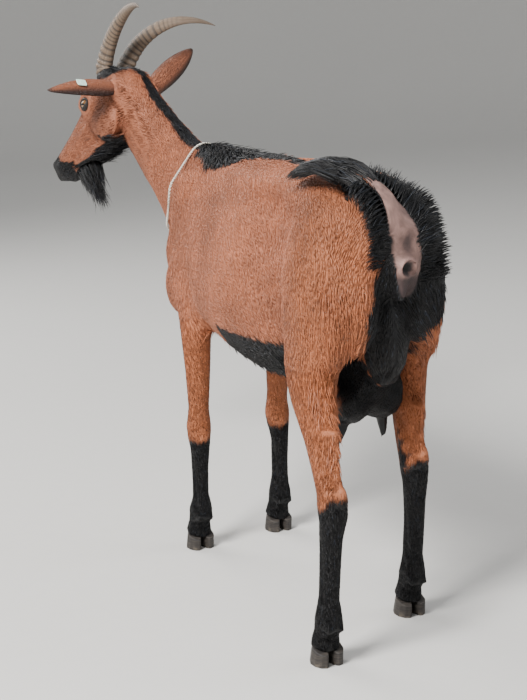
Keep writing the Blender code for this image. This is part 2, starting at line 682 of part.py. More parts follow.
# ---------------------------------------------------------------- what she wears
def collar(flesh, collection):
    """A thin cord worn low round the neck, close on the coat and drawn back over the shoulders."""
    cord, count, sides = 0.0022, 32, 6
    centre = Vector((0.002, -0.400, 0.638))
    frame = plane_frame(centre, (0.0, -0.970, 0.24))
    points = []
    for index in range(count):
        angle = 2 * math.pi * index / count
        outward = frame.to_3x3() @ Vector((math.cos(angle), math.sin(angle), 0))
        drawn = 1.15 * abs(math.cos(angle)) * min(1.0, max(0.0, 1 + 1.8 * math.sin(angle)))
        outward = (outward + Vector((0, drawn, 0))).normalized()
        _, spot, _, _ = flesh.ray_cast(centre + outward * 0.30, -outward)
        _, _, normal, _ = flesh.closest_point_on_mesh(spot)
        points.append(spot + normal * (cord + 0.0016))
    form = bmesh.new()
    rings = []
    for index, point in enumerate(points):
        ahead = (points[(index + 1) % count] - points[index - 1]).normalized()
        outward = point - centre
        outward = (outward - ahead * outward.dot(ahead)).normalized()
        across = ahead.cross(outward)
        turn = [2 * math.pi * k / sides for k in range(sides)]
        rings.append([form.verts.new(point + cord * (outward * math.cos(a) + across * math.sin(a)))
                      for a in turn])
    for low, high in zip(rings, rings[1:] + rings[:1]):
        for k in range(sides):
            after = (k + 1) % sides
            form.faces.new((low[k], low[after], high[after], high[k]))
    return object_of("collar", form, collection)


def ear_tag(ear_node, frame, collection, workshop):
    """A plate on the back of the left ear, a pin through it and a button on the other side."""
    spot, outward = ear_point("left", frame, 0.60, -0.30)
    seat = plane_frame(spot, outward)
    clear = EAR_THICKNESS / 2 + 0.0010
    plate = block("ear_tag", seat, (-0.0100, -0.0080, clear), (0.0100, 0.0080, clear + 0.0016),
                  collection)
    edge = plate.modifiers.new("edge", "BEVEL")
    edge.width = 0.0005
    edge.segments = 1
    settle(plate)

    def disc(name, radius, low, high):
        form = bmesh.new()
        bmesh.ops.create_cone(form, cap_ends=True, segments=12, radius1=radius, radius2=radius,
                              depth=high - low)
        form.transform(seat @ Matrix.Translation((0, 0, (low + high) / 2)))
        return object_of(name, form, workshop)

    pin = disc("pin", 0.0018, -clear - 0.0008, clear + 0.0008)
    button = disc("button", 0.0050, -clear - 0.0016, -clear)
    hole = disc("hole", 0.0018 + GAP, -0.006, 0.006)
    cut(ear_node, hole)
    cut(plate, pin, "UNION")
    cut(plate, button, "UNION")
    clearance = grown(ear_node, 0.6 * GAP, workshop)
    cut(plate, clearance)
    remove(pin, button, hole, clearance)


# ---------------------------------------------------------------- the whole doe
def body_share(spot, to_head):
    """How much a place on the flesh is smoothed: the body fully, face and lower legs little."""
    above_legs = min(1.0, max(0.0, (spot.z - 0.30) / 0.12))
    behind_jaw = min(1.0, max(0.0, (0.035 - (to_head @ spot).x) / 0.05))
    return above_legs * behind_jaw


def stand_on_claws(flesh, doe, workshop):
    """End each leg at its coronet and set two claws under it."""
    for label, feet in (("fore", FORE_FEET), ("hind", HIND_FEET)):
        for side, (x, y) in feet.items():
            sole = foot_cutter(x, y, workshop)
            cut(flesh, sole)
            remove(sole)
            for place, outward in (("inner", -SIDE[side]), ("outer", SIDE[side])):
                claw("claw_" + label + "_" + side + "_" + place,
                     Vector((x + outward * 0.0080, y, 0)), outward, doe)


def build():
    """Model, part, dress and place the doe."""
    doe, workshop = start_scene()
    frame = head_frame()
    forms = trunk_forms(workshop) + [neck_form(workshop)] + head_forms(frame, workshop)
    for side in SIDE:
        forms += foreleg_forms(side, FORE_FEET[side], workshop)
        forms += hindleg_forms(side, HIND_FEET[side], workshop)
    flesh = relax(blend("flesh", forms, FLESH_VOXEL, workshop), 7)
    to_head = frame.inverted()
    relax(flesh, 36, lambda spot: body_share(spot, to_head))
    thin_out(flesh, FLESH_TRIANGLES)
    stand_on_claws(flesh, doe, workshop)

    hide = grown(flesh, GAP, workshop)
    head, _ = part_flesh(flesh, frame, doe, workshop)
    for side in SIDE:
        ball = eye(side, frame, doe)
        socket = grown(ball, GAP, workshop)
        lids = lid_opening(side, frame, workshop)
        cut(head, lids)
        cut(head, socket)
        remove(socket, lids)
        cut(horn(side, frame, doe), hide)
        cut(ear(side, frame, doe), hide)
    cut(beard(frame, doe), hide)
    cut(tail(doe), hide)
    bag = cut(udder(doe), hide)
    for side in SIDE:
        thigh = grown(doe.objects["hindleg_" + side], 2 * GAP, workshop)
        cut(bag, thigh)
        remove(thigh)
    cut(collar(hide, doe), hide)
    remove(hide)
    ear_tag(doe.objects["ear_left"], frame, doe, workshop)
    finish(doe)


def finish(doe):
    """Give every node its material, shade round ones smooth and centre the doe on the floor."""
    coat = material("coat_bay", BAY, 0.55)
    black = material("coat_black", BLACK_COAT, 0.5)
    looks = {"horn": material("horn", HORN_GREY, 0.45), "claw": material("claw", CLAW_BLACK, 0.5),
             "eye": material("eye", EYE_AMBER, 0.08), "collar": material("cord", CORD_WHITE, 0.8),
             "ear_tag": material("tag", TAG_MINT, 0.4), "beard": black, "tail": black,
             "udder": black}
    corners = np.array([tuple(vertex.co) for thing in doe.objects for vertex in thing.data.vertices])
    low, high = corners.min(axis=0), corners.max(axis=0)
    shift = Matrix.Translation((-(low[0] + high[0]) / 2, -(low[1] + high[1]) / 2, -low[2]))
    for thing in doe.objects:
        thing.data.transform(shift)
        key = next((name for name in looks if thing.name.startswith(name)), None)
        thing.data.materials.clear()
        thing.data.materials.append(looks[key] if key else coat)
        if not thing.name.startswith(("claw", "ear_tag")):
            thing.data.shade_smooth()


build()
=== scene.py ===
"""The looks of a horned dairy doe of Alpine type, standing with her head turned to her left.

One hide covers the flesh, and a coat of short tufts lies over it. Longer locks make the crest,
tail and beard. Eyes, horns, claws, collar and ear tag are pieces of their own.
"""

import math

import bmesh
import bpy
import numpy as np
from mathutils import Matrix, Vector
from mathutils.bvhtree import BVHTree


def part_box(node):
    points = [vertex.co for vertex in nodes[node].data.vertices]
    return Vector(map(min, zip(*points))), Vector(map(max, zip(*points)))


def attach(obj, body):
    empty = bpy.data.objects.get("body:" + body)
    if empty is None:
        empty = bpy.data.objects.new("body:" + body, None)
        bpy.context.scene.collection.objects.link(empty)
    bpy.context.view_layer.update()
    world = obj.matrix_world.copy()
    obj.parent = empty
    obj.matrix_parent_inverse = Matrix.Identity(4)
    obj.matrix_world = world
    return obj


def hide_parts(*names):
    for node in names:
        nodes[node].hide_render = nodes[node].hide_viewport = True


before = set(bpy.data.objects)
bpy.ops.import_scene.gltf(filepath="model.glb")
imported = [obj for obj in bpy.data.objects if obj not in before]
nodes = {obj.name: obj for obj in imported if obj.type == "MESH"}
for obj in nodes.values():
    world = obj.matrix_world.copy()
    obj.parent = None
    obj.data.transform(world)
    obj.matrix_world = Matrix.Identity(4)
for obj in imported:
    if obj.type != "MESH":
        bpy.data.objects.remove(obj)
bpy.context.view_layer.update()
chance = np.random.default_rng(11)

# ------------------------------------------------------------------ the hide
# The hide is one closed skin over head, neck, trunk, legs, dock and udder, with ears and lids
# joined on. It is drawn from the flesh's outline, smoothed, modelled further with folds and
# creases, and sunk below the outline by the depth of the coat.
FLESH = ("head", "neck", "trunk", "foreleg_left", "foreleg_right", "hindleg_left",
         "hindleg_right", "udder")
SIDES = {"left": 1.0, "right": -1.0}
EYE_RADIUS = 0.0145
HEAD_YAW, HEAD_PITCH, HEAD_ROLL = (math.radians(turn) for turn in (30.0, 34.0, 15.0))
HEAD_UNIT = 0.266 / 0.262                       # head sizes are given on a head 0.262 long
EYE_PLACE = (0.097, 0.0, -0.0265)               # midway between the eyes, in head sizes
POLL_PLACE = Vector((0.059, -0.572, 0.894))     # from the point on the floor that follows
REAR_MIDDLE, REAR_HEIGHT = -0.009, 0.614        # the anus lies a little right of the middle
HIDE_GRAIN = 0.0024
HIDE_TRIANGLES = 162750                         # left once its flat stretches are thinned


def middle(name):
    """The middle of a solid's box."""
    low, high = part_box(name)
    return (low + high) / 2


EYE_MIDDLE = {side: np.array(middle("eye_" + side)) for side in SIDES}


def head_axes():
    """From head places to the row's: x to the nose, y to her left, z out of the forehead."""
    turn = Matrix.Rotation(HEAD_YAW, 4, "Z") @ Matrix.Rotation(-math.pi / 2, 4, "Z")
    turn @= Matrix.Rotation(HEAD_PITCH, 4, "Y") @ Matrix.Rotation(HEAD_ROLL, 4, "X")
    halfway = (middle("eye_left") + middle("eye_right")) / 2
    return (Matrix.Translation(halfway) @ turn @ Matrix.Scale(HEAD_UNIT, 4)
            @ Matrix.Translation(-Vector(EYE_PLACE)))


HEAD = head_axes()
GROUND = HEAD.translation - POLL_PLACE          # on the floor, below the middle of the shoulders
HEAD_ARRAY = np.array(HEAD)
HEAD_BACK = np.array(HEAD.inverted())


def on_head(along, across, out):
    """A place on the head, in the row's frame."""
    return HEAD @ Vector((along, across, out))


def on_body(x, y, z):
    """A place on the body, in the row's frame."""
    return GROUND + Vector((x, y, z))


def to_head(points):
    """Head places of many points."""
    return points @ HEAD_BACK[:3, :3].T + HEAD_BACK[:3, 3]


def from_head(places):
    """The row's places of many head places."""
    return places @ HEAD_ARRAY[:3, :3].T + HEAD_ARRAY[:3, 3]


def to_body(points):
    """Body places of many points."""
    return points - np.array(GROUND)


def of_head(points):
    """1 on the head and 0 away from it."""
    head = to_head(points)
    away = np.linalg.norm(head - np.array((0.125, 0.0, -0.055)), axis=1)
    return ramp(head[:, 0], -0.03, 0.02) * (1 - ramp(away, 0.165, 0.200))


def unit(vectors):
    """Vectors brought to length one."""
    return vectors / np.maximum(np.linalg.norm(vectors, axis=-1, keepdims=True), 1e-9)


def faces_up(normals):
    """How far the hide faces out of the forehead: 1 there, and -1 under the jaw."""
    return normals @ unit(HEAD_ARRAY[:3, 2])


def ramp(values, low, high):
    """A smooth step from 0 at one value to 1 at the other."""
    share = np.clip((values - low) / (high - low), 0.0, 1.0)
    return share * share * (3 - 2 * share)


def folded(places, axis):
    """Places with one side laid on the other, so that both sides are treated alike."""
    laid = places.copy()
    laid[:, axis] = np.abs(laid[:, axis])
    return laid


def between(values, low, high):
    """True where values lie between two limits."""
    return (values > low) * (values < high)


def placed(name, data):
    """An object put into the scene."""
    made = bpy.data.objects.new(name, data)
    bpy.context.scene.collection.objects.link(made)
    return made


def built(name, form):
    """A mesh object from a finished bmesh."""
    mesh = bpy.data.meshes.new(name)
    form.to_mesh(mesh)
    form.free()
    return placed(name, mesh)


def mesh_of(name, points, faces):
    """A smooth mesh object from arrays of points and faces."""
    mesh = bpy.data.meshes.new(name)
    mesh.from_pydata([tuple(p) for p in points], [], [tuple(f) for f in faces])
    mesh.shade_smooth()
    return placed(name, mesh)


def add_closed(form, points, faces):
    """Add a closed shape to a bmesh, its faces turned outward."""
    made = [form.verts.new(p) for p in points]
    bmesh.ops.recalc_face_normals(
        form, faces=[form.faces.new([made[i] for i in face]) for face in faces])


def turn_outward(mesh):
    """Turn a closed mesh's faces outward."""
    form = bmesh.new()
    form.from_mesh(mesh)
    bmesh.ops.recalc_face_normals(form, faces=form.faces)
    form.to_mesh(mesh)
    form.free()


def settled(thing):
    """Apply a thing's modifiers."""
    mesh = bpy.data.meshes.new_from_object(
        thing.evaluated_get(bpy.context.evaluated_depsgraph_get()))
    thing.modifiers.clear()
    thing.data = mesh
    return thing


def numbers_of(rows, name, each, kind=np.float32):
    """What a mesh's points, edges or faces hold under a name, so many numbers to each."""
    flat = np.empty(len(rows) * each, kind)
    rows.foreach_get(name, flat)
    return flat.reshape(-1, each)


def points_of(thing):
    """A mesh's points as an array."""
    return numbers_of(thing.data.vertices, "co", 3).astype(float)


def put_points(thing, points):
    """Write a mesh's points back."""
    thing.data.vertices.foreach_set("co", np.asarray(points, np.float32).ravel())
    thing.data.update()


def normals_of(thing):
    """Outward directions at a mesh's points."""
    return numbers_of(thing.data.vertex_normals, "vector", 3).astype(float)


def carry(mesh, name, kind, field, values):
    """Store values for each point of a mesh, where its material finds them."""
    layer = mesh.attributes.new(name, kind, "POINT")
    layer.data.foreach_set(field, np.asarray(values, np.float32).ravel())


def tube_faces(rows, sides, ends=False):
    """Faces of a tube whose rings of points follow each other, and of its ends."""
    faces = []
    for low in range(0, (rows - 1) * sides, sides):
        for side in range(sides):
            after = (side + 1) % sides
            faces.append((low + side, low + after, low + sides + after, low + sides + side))
    if ends:
        faces += [tuple(range(sides))[::-1], tuple(range((rows - 1) * sides, rows * sides))]
    return faces


def smooth_path(stations, steps):
    """Catmull-Rom rows between the given stations."""
    rows = np.array(stations, float)
    padded = np.vstack([2 * rows[0] - rows[1], rows, 2 * rows[-1] - rows[-2]])
    made = []
    for index in range(len(rows) - 1):
        a, b, c, d = padded[index:index + 4]
        for step in range(steps):
            t = step / steps
            made.append(0.5 * (2 * b + (c - a) * t + (2 * a - 5 * b + 4 * c - d) * t ** 2
                               + (3 * b - a - 3 * c + d) * t ** 3))
    made.append(rows[-1])
    return np.array(made)


# The dock: the tail's own flesh, raised, bare below and bent to her left at its end.
DOCK = smooth_path([
    # x, y, z, half width, half thickness
    (-0.002, 0.345, 0.610, 0.024, 0.016),
    (-0.002, 0.388, 0.640, 0.0245, 0.014),
    (0.001, 0.397, 0.675, 0.0230, 0.0125),
    (0.009, 0.394, 0.708, 0.0200, 0.0105),
    (0.024, 0.382, 0.737, 0.0150, 0.0085),
    (0.041, 0.360, 0.757, 0.0095, 0.0065),
    (0.056, 0.336, 0.766, 0.0045, 0.0040)], 5)


def dock_frames():
    """For each row along the dock: its middle, its run, and the way across it."""
    middles = DOCK[:, :3] + np.array(GROUND)
    runs = unit(np.gradient(middles, axis=0))
    across = np.array([1.0, 0.25, 0.0])
    sideways = unit(across - runs * (runs @ across)[:, None])
    return middles, runs, sideways


def dock_form():
    """A flattened tapering tube."""
    sides = 20
    middles, runs, sideways = dock_frames()
    under = np.cross(runs, sideways)
    points = []
    for centre, side, low, row in zip(middles, sideways, under, DOCK):
        for index in range(sides):
            angle = 2 * math.pi * index / sides
            points.append(centre + side * row[3] * math.cos(angle) + low * row[4] * math.sin(angle))
    return points, tube_faces(len(DOCK), sides, True)


def merge_flesh():
    """All the flesh, each piece grown by a hair so that the cuts between them close."""
    growth = 0.0006
    form = bmesh.new()
    for name in FLESH:
        piece = bmesh.new()
        piece.from_mesh(nodes[name].data)
        bmesh.ops.remove_doubles(piece, verts=piece.verts, dist=1e-5)
        piece.normal_update()
        for vertex, out in [(v, v.normal.copy()) for v in piece.verts]:
            vertex.co += out * growth
        mesh = bpy.data.meshes.new("piece")
        piece.to_mesh(mesh)
        piece.free()
        form.from_mesh(mesh)
        bpy.data.meshes.remove(mesh)
    for side in SIDES:
        bmesh.ops.create_uvsphere(form, u_segments=24, v_segments=16, radius=EYE_RADIUS + 0.0008,
                                  matrix=Matrix.Translation(middle("eye_" + side)))
    add_closed(form, *dock_form())
    whole = built("hide", form)
    remesh = whole.modifiers.new("one skin", "REMESH")
    remesh.mode = "VOXEL"
    remesh.voxel_size = HIDE_GRAIN
    return settled(whole)


def evened(thing, points, rounds, share, loose):
    """Smooth out facets: each round eases in and out again, and out by less where it is loose."""
    ends = numbers_of(thing.data.edges, "vertices", 2, np.int32)
    reach = np.bincount(ends.ravel(), minlength=len(points)).astype(float)[:, None]
    for step in range(rounds * 2):
        total = np.empty_like(points)
        for axis in range(3):
            total[:, axis] = np.bincount(ends[:, 0], points[ends[:, 1], axis], len(points))
            total[:, axis] += np.bincount(ends[:, 1], points[ends[:, 0], axis], len(points))
        ease = 0.62 if step % 2 == 0 else 0.30 * loose - 0.64
        points = points + (total / reach - points) * (ease * share)[:, None]
    return points


def bump(places, centre, radii, height):
    """A soft swelling, or a hollow where the height is below 0."""
    return height * np.exp(-(((places - np.array(centre)) / np.array(radii)) ** 2).sum(axis=1))


def near_path(points, path):
    """How far points lie from a path, and how far along it from 0 to 1."""
    path = np.array(path, float)
    nearest, place = np.full(len(points), 1e9), np.zeros(len(points))
    for index, (start, end) in enumerate(zip(path, path[1:])):
        run = end - start
        share = np.clip((points - start) @ run / (run @ run), 0, 1)
        away = np.linalg.norm(points - start - share[:, None] * run, axis=1)
        place = np.where(away < nearest, (index + share) / (len(path) - 1), place)
        nearest = np.minimum(nearest, away)
    return nearest, place


def crease(places, path, width, height):
    """A ridge along a path, or a fold where the height is below 0."""
    return height * np.exp(-(near_path(places, path)[0] / width) ** 2)


def model(relief, places, marks):
    """Add marks: (path, width, height) is a ridge or fold, (middle, radii, height) a swelling."""
    for place, size, height in marks:
        form = bump if isinstance(size, tuple) else crease
        relief += form(places, place, size, height)


def face_relief(head):
    """Folds, lips, nostrils, brow and cheek, alike on both sides of the face."""
    relief = np.zeros(len(head))
    mouth = [(0.266, 0.000, -0.0985), (0.258, 0.012, -0.0990), (0.244, 0.021, -0.0985),
             (0.222, 0.0255, -0.0955), (0.200, 0.0275, -0.0905), (0.186, 0.0285, -0.0850)]
    nostril = [(0.2635, 0.0065, -0.0790), (0.2600, 0.0110, -0.0715), (0.2530, 0.0160, -0.0680),
               (0.2450, 0.0195, -0.0695)]
    wing = [(0.2640, 0.0105, -0.0640), (0.2550, 0.0175, -0.0600), (0.2440, 0.0225, -0.0625)]
    upper_lip = [(a, b, c + 0.0065) for a, b, c in mouth[:5]]
    lower_lip = [(a, b, c - 0.0060) for a, b, c in mouth[:4]]
    model(relief, folded(head, 1), [
        (mouth, 0.0022, -0.0034), (upper_lip, 0.0035, 0.0012), (lower_lip, 0.0035, 0.0010),
        (nostril, 0.0026, -0.0062), (wing, 0.0032, 0.0016),
        ([(0.268, 0, -0.075), (0.266, 0, -0.096)], 0.0016, -0.0018),
        ([(0.112, 0.050, -0.034), (0.128, 0.043, -0.046)], 0.0030, -0.0018),
        ([(0.084, 0.053, -0.050), (0.110, 0.049, -0.055), (0.150, 0.036, -0.066)], 0.0050, 0.0020),
        ([(0.060, 0.048, -0.004), (0.085, 0.052, -0.006), (0.112, 0.044, -0.012)], 0.0055, 0.0022),
        ([(0.150, 0.031, -0.080), (0.140, 0.032, -0.083), (0.118, 0.034, -0.094)], 0.0026, -0.0022),
        ([(0.176, 0.030, -0.078), (0.160, 0.031, -0.088), (0.142, 0.030, -0.098)], 0.0030, -0.0015),
        ([(0.030, 0.044, -0.060), (0.026, 0.040, -0.090), (0.040, 0.034, -0.114)], 0.0060, -0.0034),
        ([(0.070, 0.044, -0.112), (0.115, 0.032, -0.108), (0.160, 0.022, -0.104)], 0.0050, 0.0012),
        ((0.062, 0.050, -0.022), (0.013, 0.012, 0.010), -0.0026),
        ((0.075, 0.048, -0.085), (0.026, 0.014, 0.020), 0.0022),
        ((0.128, 0.040, -0.062), (0.010, 0.010, 0.007), 0.0014),
        ((0.150, 0.036, -0.050), (0.016, 0.010, 0.008), -0.0012),
        ((0.118, 0.000, -0.004), (0.022, 0.014, 0.012), -0.0016),
        ((0.196, 0.012, -0.040), (0.026, 0.010, 0.010), 0.0008)])
    return relief


def body_relief(body):
    """Muscles, tendons, joints, ribs, flank, neck folds and what lies under the tail."""
    relief = np.zeros(len(body))
    model(relief, folded(body, 0), [
        ([(0.118, -0.215, 0.690), (0.135, -0.195, 0.600), (0.120, -0.185, 0.510)], 0.014, -0.0050),
        ([(0.060, -0.345, 0.700), (0.085, -0.350, 0.620), (0.085, -0.330, 0.560)], 0.013, -0.0040),
        ([(0.060, -0.270, 0.730), (0.085, -0.285, 0.640), (0.095, -0.325, 0.560)], 0.009, 0.0032),
        ([(0.105, -0.290, 0.520), (0.115, -0.230, 0.500)], 0.012, 0.0022),
        ((0.115, 0.150, 0.650), (0.032, 0.045, 0.044), -0.0110),
        ((0.105, 0.225, 0.700), (0.024, 0.030, 0.022), 0.0050),
        ([(0.085, 0.200, 0.715), (0.118, 0.190, 0.640), (0.135, 0.175, 0.560)], 0.014, 0.0048),
        ([(0.145, 0.150, 0.500), (0.128, 0.195, 0.455), (0.110, 0.215, 0.420)], 0.011, 0.0055),
        ([(0.115, 0.300, 0.640), (0.125, 0.320, 0.560), (0.118, 0.330, 0.490)], 0.014, -0.0052),
        ([(0.095, 0.375, 0.620), (0.105, 0.385, 0.550), (0.100, 0.360, 0.470)], 0.013, 0.0038)])
    rib_spacing, rib_height = 0.036, 0.0004
    ribs = np.cos((body[:, 1] + 0.35 * body[:, 2]) * 2 * math.pi / rib_spacing)
    relief += rib_height * ribs * ramp(body[:, 1], -0.14, -0.04) \
        * (1 - ramp(body[:, 1], 0.06, 0.14)) * ramp(body[:, 2], 0.44, 0.50) \
        * (1 - ramp(body[:, 2], 0.64, 0.70))
    rear = body - np.array((REAR_MIDDLE, 0, 0))
    around = np.hypot(rear[:, 0], rear[:, 2] - REAR_HEIGHT)
    relief += 0.0030 * np.exp(-((around - 0.0122) / 0.0042) ** 2) * ramp(body[:, 1], 0.37, 0.39)
    model(relief, rear, [
        ((0.000, 0.412, REAR_HEIGHT), (0.0080, 0.030, 0.0080), -0.0130),
        ((-0.018, 0.395, 0.604), (0.018, 0.040, 0.040), 0.0110),
        ([(0.000, 0.410, 0.598), (0.000, 0.420, 0.550)], 0.0030, -0.0050)])
    model(relief, folded(rear, 0), [
        ([(0.008, 0.408, 0.598), (0.0075, 0.416, 0.565), (0.001, 0.416, 0.548)], 0.0050, 0.0032)])
    return relief


FEET = ((0.087, -0.268, False), (-0.086, -0.285, False),    # where each foot stands on the floor,
        (0.136, 0.362, True), (-0.080, 0.243, True))        # and whether it is a hind foot


def leg_relief(body):
    """The groove between tendon and cannon bone, the knee's small bones and the hock's cords."""
    relief = np.zeros(len(body))
    for x, y, hind in FEET:
        for out in (-1, 1):
            side = x + out * 0.017
            model(relief, body, [
                ([(side, y + 0.030, 0.205), (side, y + 0.029, 0.110)], 0.0055, -0.0026),
                ((x + out * 0.020, y + 0.016, 0.080), (0.008, 0.012, 0.012), 0.0015)])
            hock = [([(x * 0.97 + out * 0.016, y + 0.052, 0.300),
                      (x * 0.96 + out * 0.018, y + 0.020, 0.345)], 0.007, -0.0030),
                    ((x * 0.97 + out * 0.021, y + 0.036, 0.262), (0.008, 0.012, 0.014), 0.0020)]
            knee = [((x * 0.98 + out * 0.020, y + 0.024, 0.246), (0.008, 0.012, 0.010), 0.0018),
                    ((x * 0.98 + out * 0.016, y + 0.014, 0.222), (0.008, 0.010, 0.008), 0.0014)]
            model(relief, body, hock if hind else knee)
    return relief


EYE_LOOK = {side: unit(HEAD_ARRAY[:3, :3] @ np.array((0.20, sign, 0.06)))
            for side, sign in SIDES.items()}


def from_eye(points, side):
    """The way to points from the middle of an eye, and how far they lie from it."""
    away = points - EYE_MIDDLE[side]
    return away, np.linalg.norm(away, axis=1)


def from_gaze(away, reach, side):
    """How many degrees those points lie aside from where the eye looks."""
    return np.degrees(np.arccos(np.clip(away @ EYE_LOOK[side] / reach, -1, 1)))


def from_nearer_eye(points):
    """How far points lie from the middle of the nearer eye."""
    return np.min([from_eye(points, side)[1] for side in SIDES], axis=0)


def sink_behind_eyes(points):
    """Draw the hide in behind each eyeball, so that only the ball shows between the lids."""
    for side in SIDES:
        away, reach = from_eye(points, side)
        angle = from_gaze(away, reach, side)
        inside = (1 - ramp(angle, 50, 66)) * (reach < EYE_RADIUS + 0.014)
        wanted = np.minimum(reach, EYE_RADIUS - 0.0030)
        reach_now = reach + (wanted - reach) * inside
        points = EYE_MIDDLE[side] + away / reach[:, None] * reach_now[:, None]
    return points


def coat_depth(points):
    """How far the hair stands over the hide: least on face and feet, most on trunk and rump."""
    depth = 0.0012 + 0.0022 * ramp(to_body(points)[:, 2], 0.20, 0.48)
    return depth + (0.0007 - depth) * of_head(points)


def whole_hide():
    """Smooth, model and sink the hide, then thin it out where it is flat."""
    made = merge_flesh()
    points = points_of(made)
    height = to_body(points)[:, 2]
    # Head and feet keep their form, and the trunk away from the dock is smoothed the most.
    still = np.maximum(of_head(points), 1 - ramp(height, 0.05, 0.09))
    dock = np.min([np.linalg.norm(points - row, axis=1) for row in dock_frames()[0][::3]], axis=0)
    loose = ramp(height, 0.42, 0.52) * (1 - of_head(points)) * ramp(dock, 0.03, 0.05)
    rounds, strip_rounds = ((75, 30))
    points = evened(made, points, rounds,
                    (1 - 0.85 * still) * (0.35 + 0.65 * ramp(height, 0.30, 0.36)), loose)
    # The bare strip is smoothed again, from the anus up to the root of the tail.
    body = to_body(points)
    strip = ramp(0.060 - np.abs(body[:, 0]), 0, 0.02) * ramp(body[:, 1], 0.345, 0.365)
    strip *= ramp(body[:, 2], 0.56, 0.59) * ramp(0.735 - body[:, 2], 0, 0.02)
    points = evened(made, points, strip_rounds, strip, np.full(len(points), 2.2))
    put_points(made, points)
    for relief in (lambda p: body_relief(to_body(p)), lambda p: leg_relief(to_body(p)),
                   lambda p: face_relief(to_head(p)) * of_head(p),
                   lambda p: -coat_depth(p)):
        points = points + normals_of(made) * relief(points)[:, None]
        put_points(made, points)
    points = sink_behind_eyes(points)
    put_points(made, points)
    # The head keeps all its triangles.
    group = made.vertex_groups.new(name="plain")
    for share in (0.0, 1.0):
        chosen = np.where((of_head(points) < 0.5) == (share > 0))[0]
        group.add(chosen.tolist(), share, "REPLACE")
    count = sum(len(face.vertices) - 2 for face in made.data.polygons)
    thin = made.modifiers.new("thin", "DECIMATE")
    thin.ratio = min(1.0, HIDE_TRIANGLES / count)
    thin.vertex_group = "plain"
    thin.vertex_group_factor = 1.0
    settled(made)
    made.vertex_groups.clear()
    return made


# The ears are thin gristle covered in skin: a tube at the root that opens along its length.
EAR_REACH = {"left": (0.18, 0.98, -0.06), "right": (-0.44, -0.70, 0.56)}
EAR_OPENING = {"left": (0.75, 0.0, -0.60), "right": (0.62, -0.66, 0.20)}
EAR_ROOT = (0.012, 0.046, -0.038)       # in head sizes, on her left
EAR_LENGTH, EAR_BURIED = 0.145, 0.016
EAR_WALL = 0.0030


def ear_place(side, along, across):
    """Places on an ear's middle sheet and the way out of its back; across runs from -1 to 1."""
    reach = unit(np.array(EAR_REACH[side]))
    opening = np.array(EAR_OPENING[side])
    opening = unit(opening - reach * (opening @ reach))
    edgeward = np.cross(opening, reach)
    root = np.array(EAR_ROOT) * (1, SIDES[side], 1) - reach * EAR_BURIED
    half = 0.034 * np.maximum(np.sin(math.pi * (0.17 + 0.83 * along)), 0) ** 0.75 + 0.0025
    cup = np.radians(128 - 66 * along)
    radius, angle = half / cup, across * cup
    droop = 0.010 * along ** 2 - 0.010 * np.sin(math.pi * along) + radius * (1 - np.cos(angle))
    place = root + reach * ((EAR_LENGTH + EAR_BURIED) * along)[:, None] + opening * droop[:, None]
    place = place + edgeward * (radius * np.sin(angle))[:, None]
    back = edgeward * np.sin(angle)[:, None] - opening * np.cos(angle)[:, None]
    return from_head(place), unit(back @ HEAD_ARRAY[:3, :3].T)


def ear_form(side):
    """Both faces of an ear joined round its rim, ridged inside and veined behind."""
    rows, columns = 46, 26
    ring = np.concatenate([np.linspace(-1, 1, columns), np.linspace(1, -1, columns)[1:-1]])
    behind = np.concatenate([np.ones(columns), -np.ones(columns - 2)])
    behind[[0, columns - 1]] = 0.0
    along = np.repeat(np.linspace(0, 1, rows), len(ring))
    across, behind = np.tile(ring, rows), np.tile(behind, rows)
    wall = EAR_WALL * (1 - 0.45 * along) * np.sqrt(1 - np.abs(across) ** 6) / 2 + 0.0002
    ridges = 0.0006 * np.cos(across * 9.4) * ramp(along, 0.15, 0.3) * (1 - ramp(along, 0.7, 0.95))
    wall = wall + np.where(behind < 0, ridges, -0.4 * ridges) * np.abs(behind)
    place, back = ear_place(side, along, across)
    faces = tube_faces(rows, len(ring), True)
    return place + back * (wall * behind)[:, None], faces, along, across, behind


# The lids: thick dark rims of bare skin that close on the eyeball in an almond.
def lid_form(side):
    """A band round the eye: out over the ball from its rim, under the hide, and back inside."""
    look = EYE_LOOK[side]
    fore = unit(HEAD_ARRAY[:3, 0] - look * (HEAD_ARRAY[:3, 0] @ look))
    above = unit(HEAD_ARRAY[:3, 2] - look * (HEAD_ARRAY[:3, 2] @ look))
    shares = [0.00, 0.00, 0.04, 0.12, 0.24, 0.40, 0.60, 0.80, 1.00, 1.00, 0.60, 0.20]
    heights = [-.0006, .0006, .0016, .0024, .0027, .0024, .0017, .0008, -.0008, -.002, -.002, -.002]
    turns = 72
    points = []
    for turn in range(turns):
        angle = 2 * math.pi * turn / turns
        ahead, high = math.cos(angle), math.sin(angle)
        tall = 27.0 if high > 0 else 21.0
        margin = 1 / ((abs(ahead) / 51.0) ** 1.7 + (abs(high) / tall) ** 1.7) ** (1 / 1.7)
        spot = fore * ahead + above * (high - 0.10 * ahead)
        spot /= np.linalg.norm(spot)
        for share, height in zip(shares, heights):
            polar = math.radians(margin + (67.0 - margin) * share)
            fold = 0.0007 * math.sin(share * 14.0) * max(0.0, high)
            reach = EYE_RADIUS + height + fold
            way = look * math.cos(polar) + spot * math.sin(polar)
            points.append(EYE_MIDDLE[side] + reach * way)
    around = len(shares)
    faces = [(t * around + k, t * around + (k + 1) % around,
              (t + 1) % turns * around + (k + 1) % around, (t + 1) % turns * around + k)
             for t in range(turns) for k in range(around)]
    return np.array(points), faces


BODY, LEFT_EAR, RIGHT_EAR, LIDS = range(4)      # which part of the hide a point is on


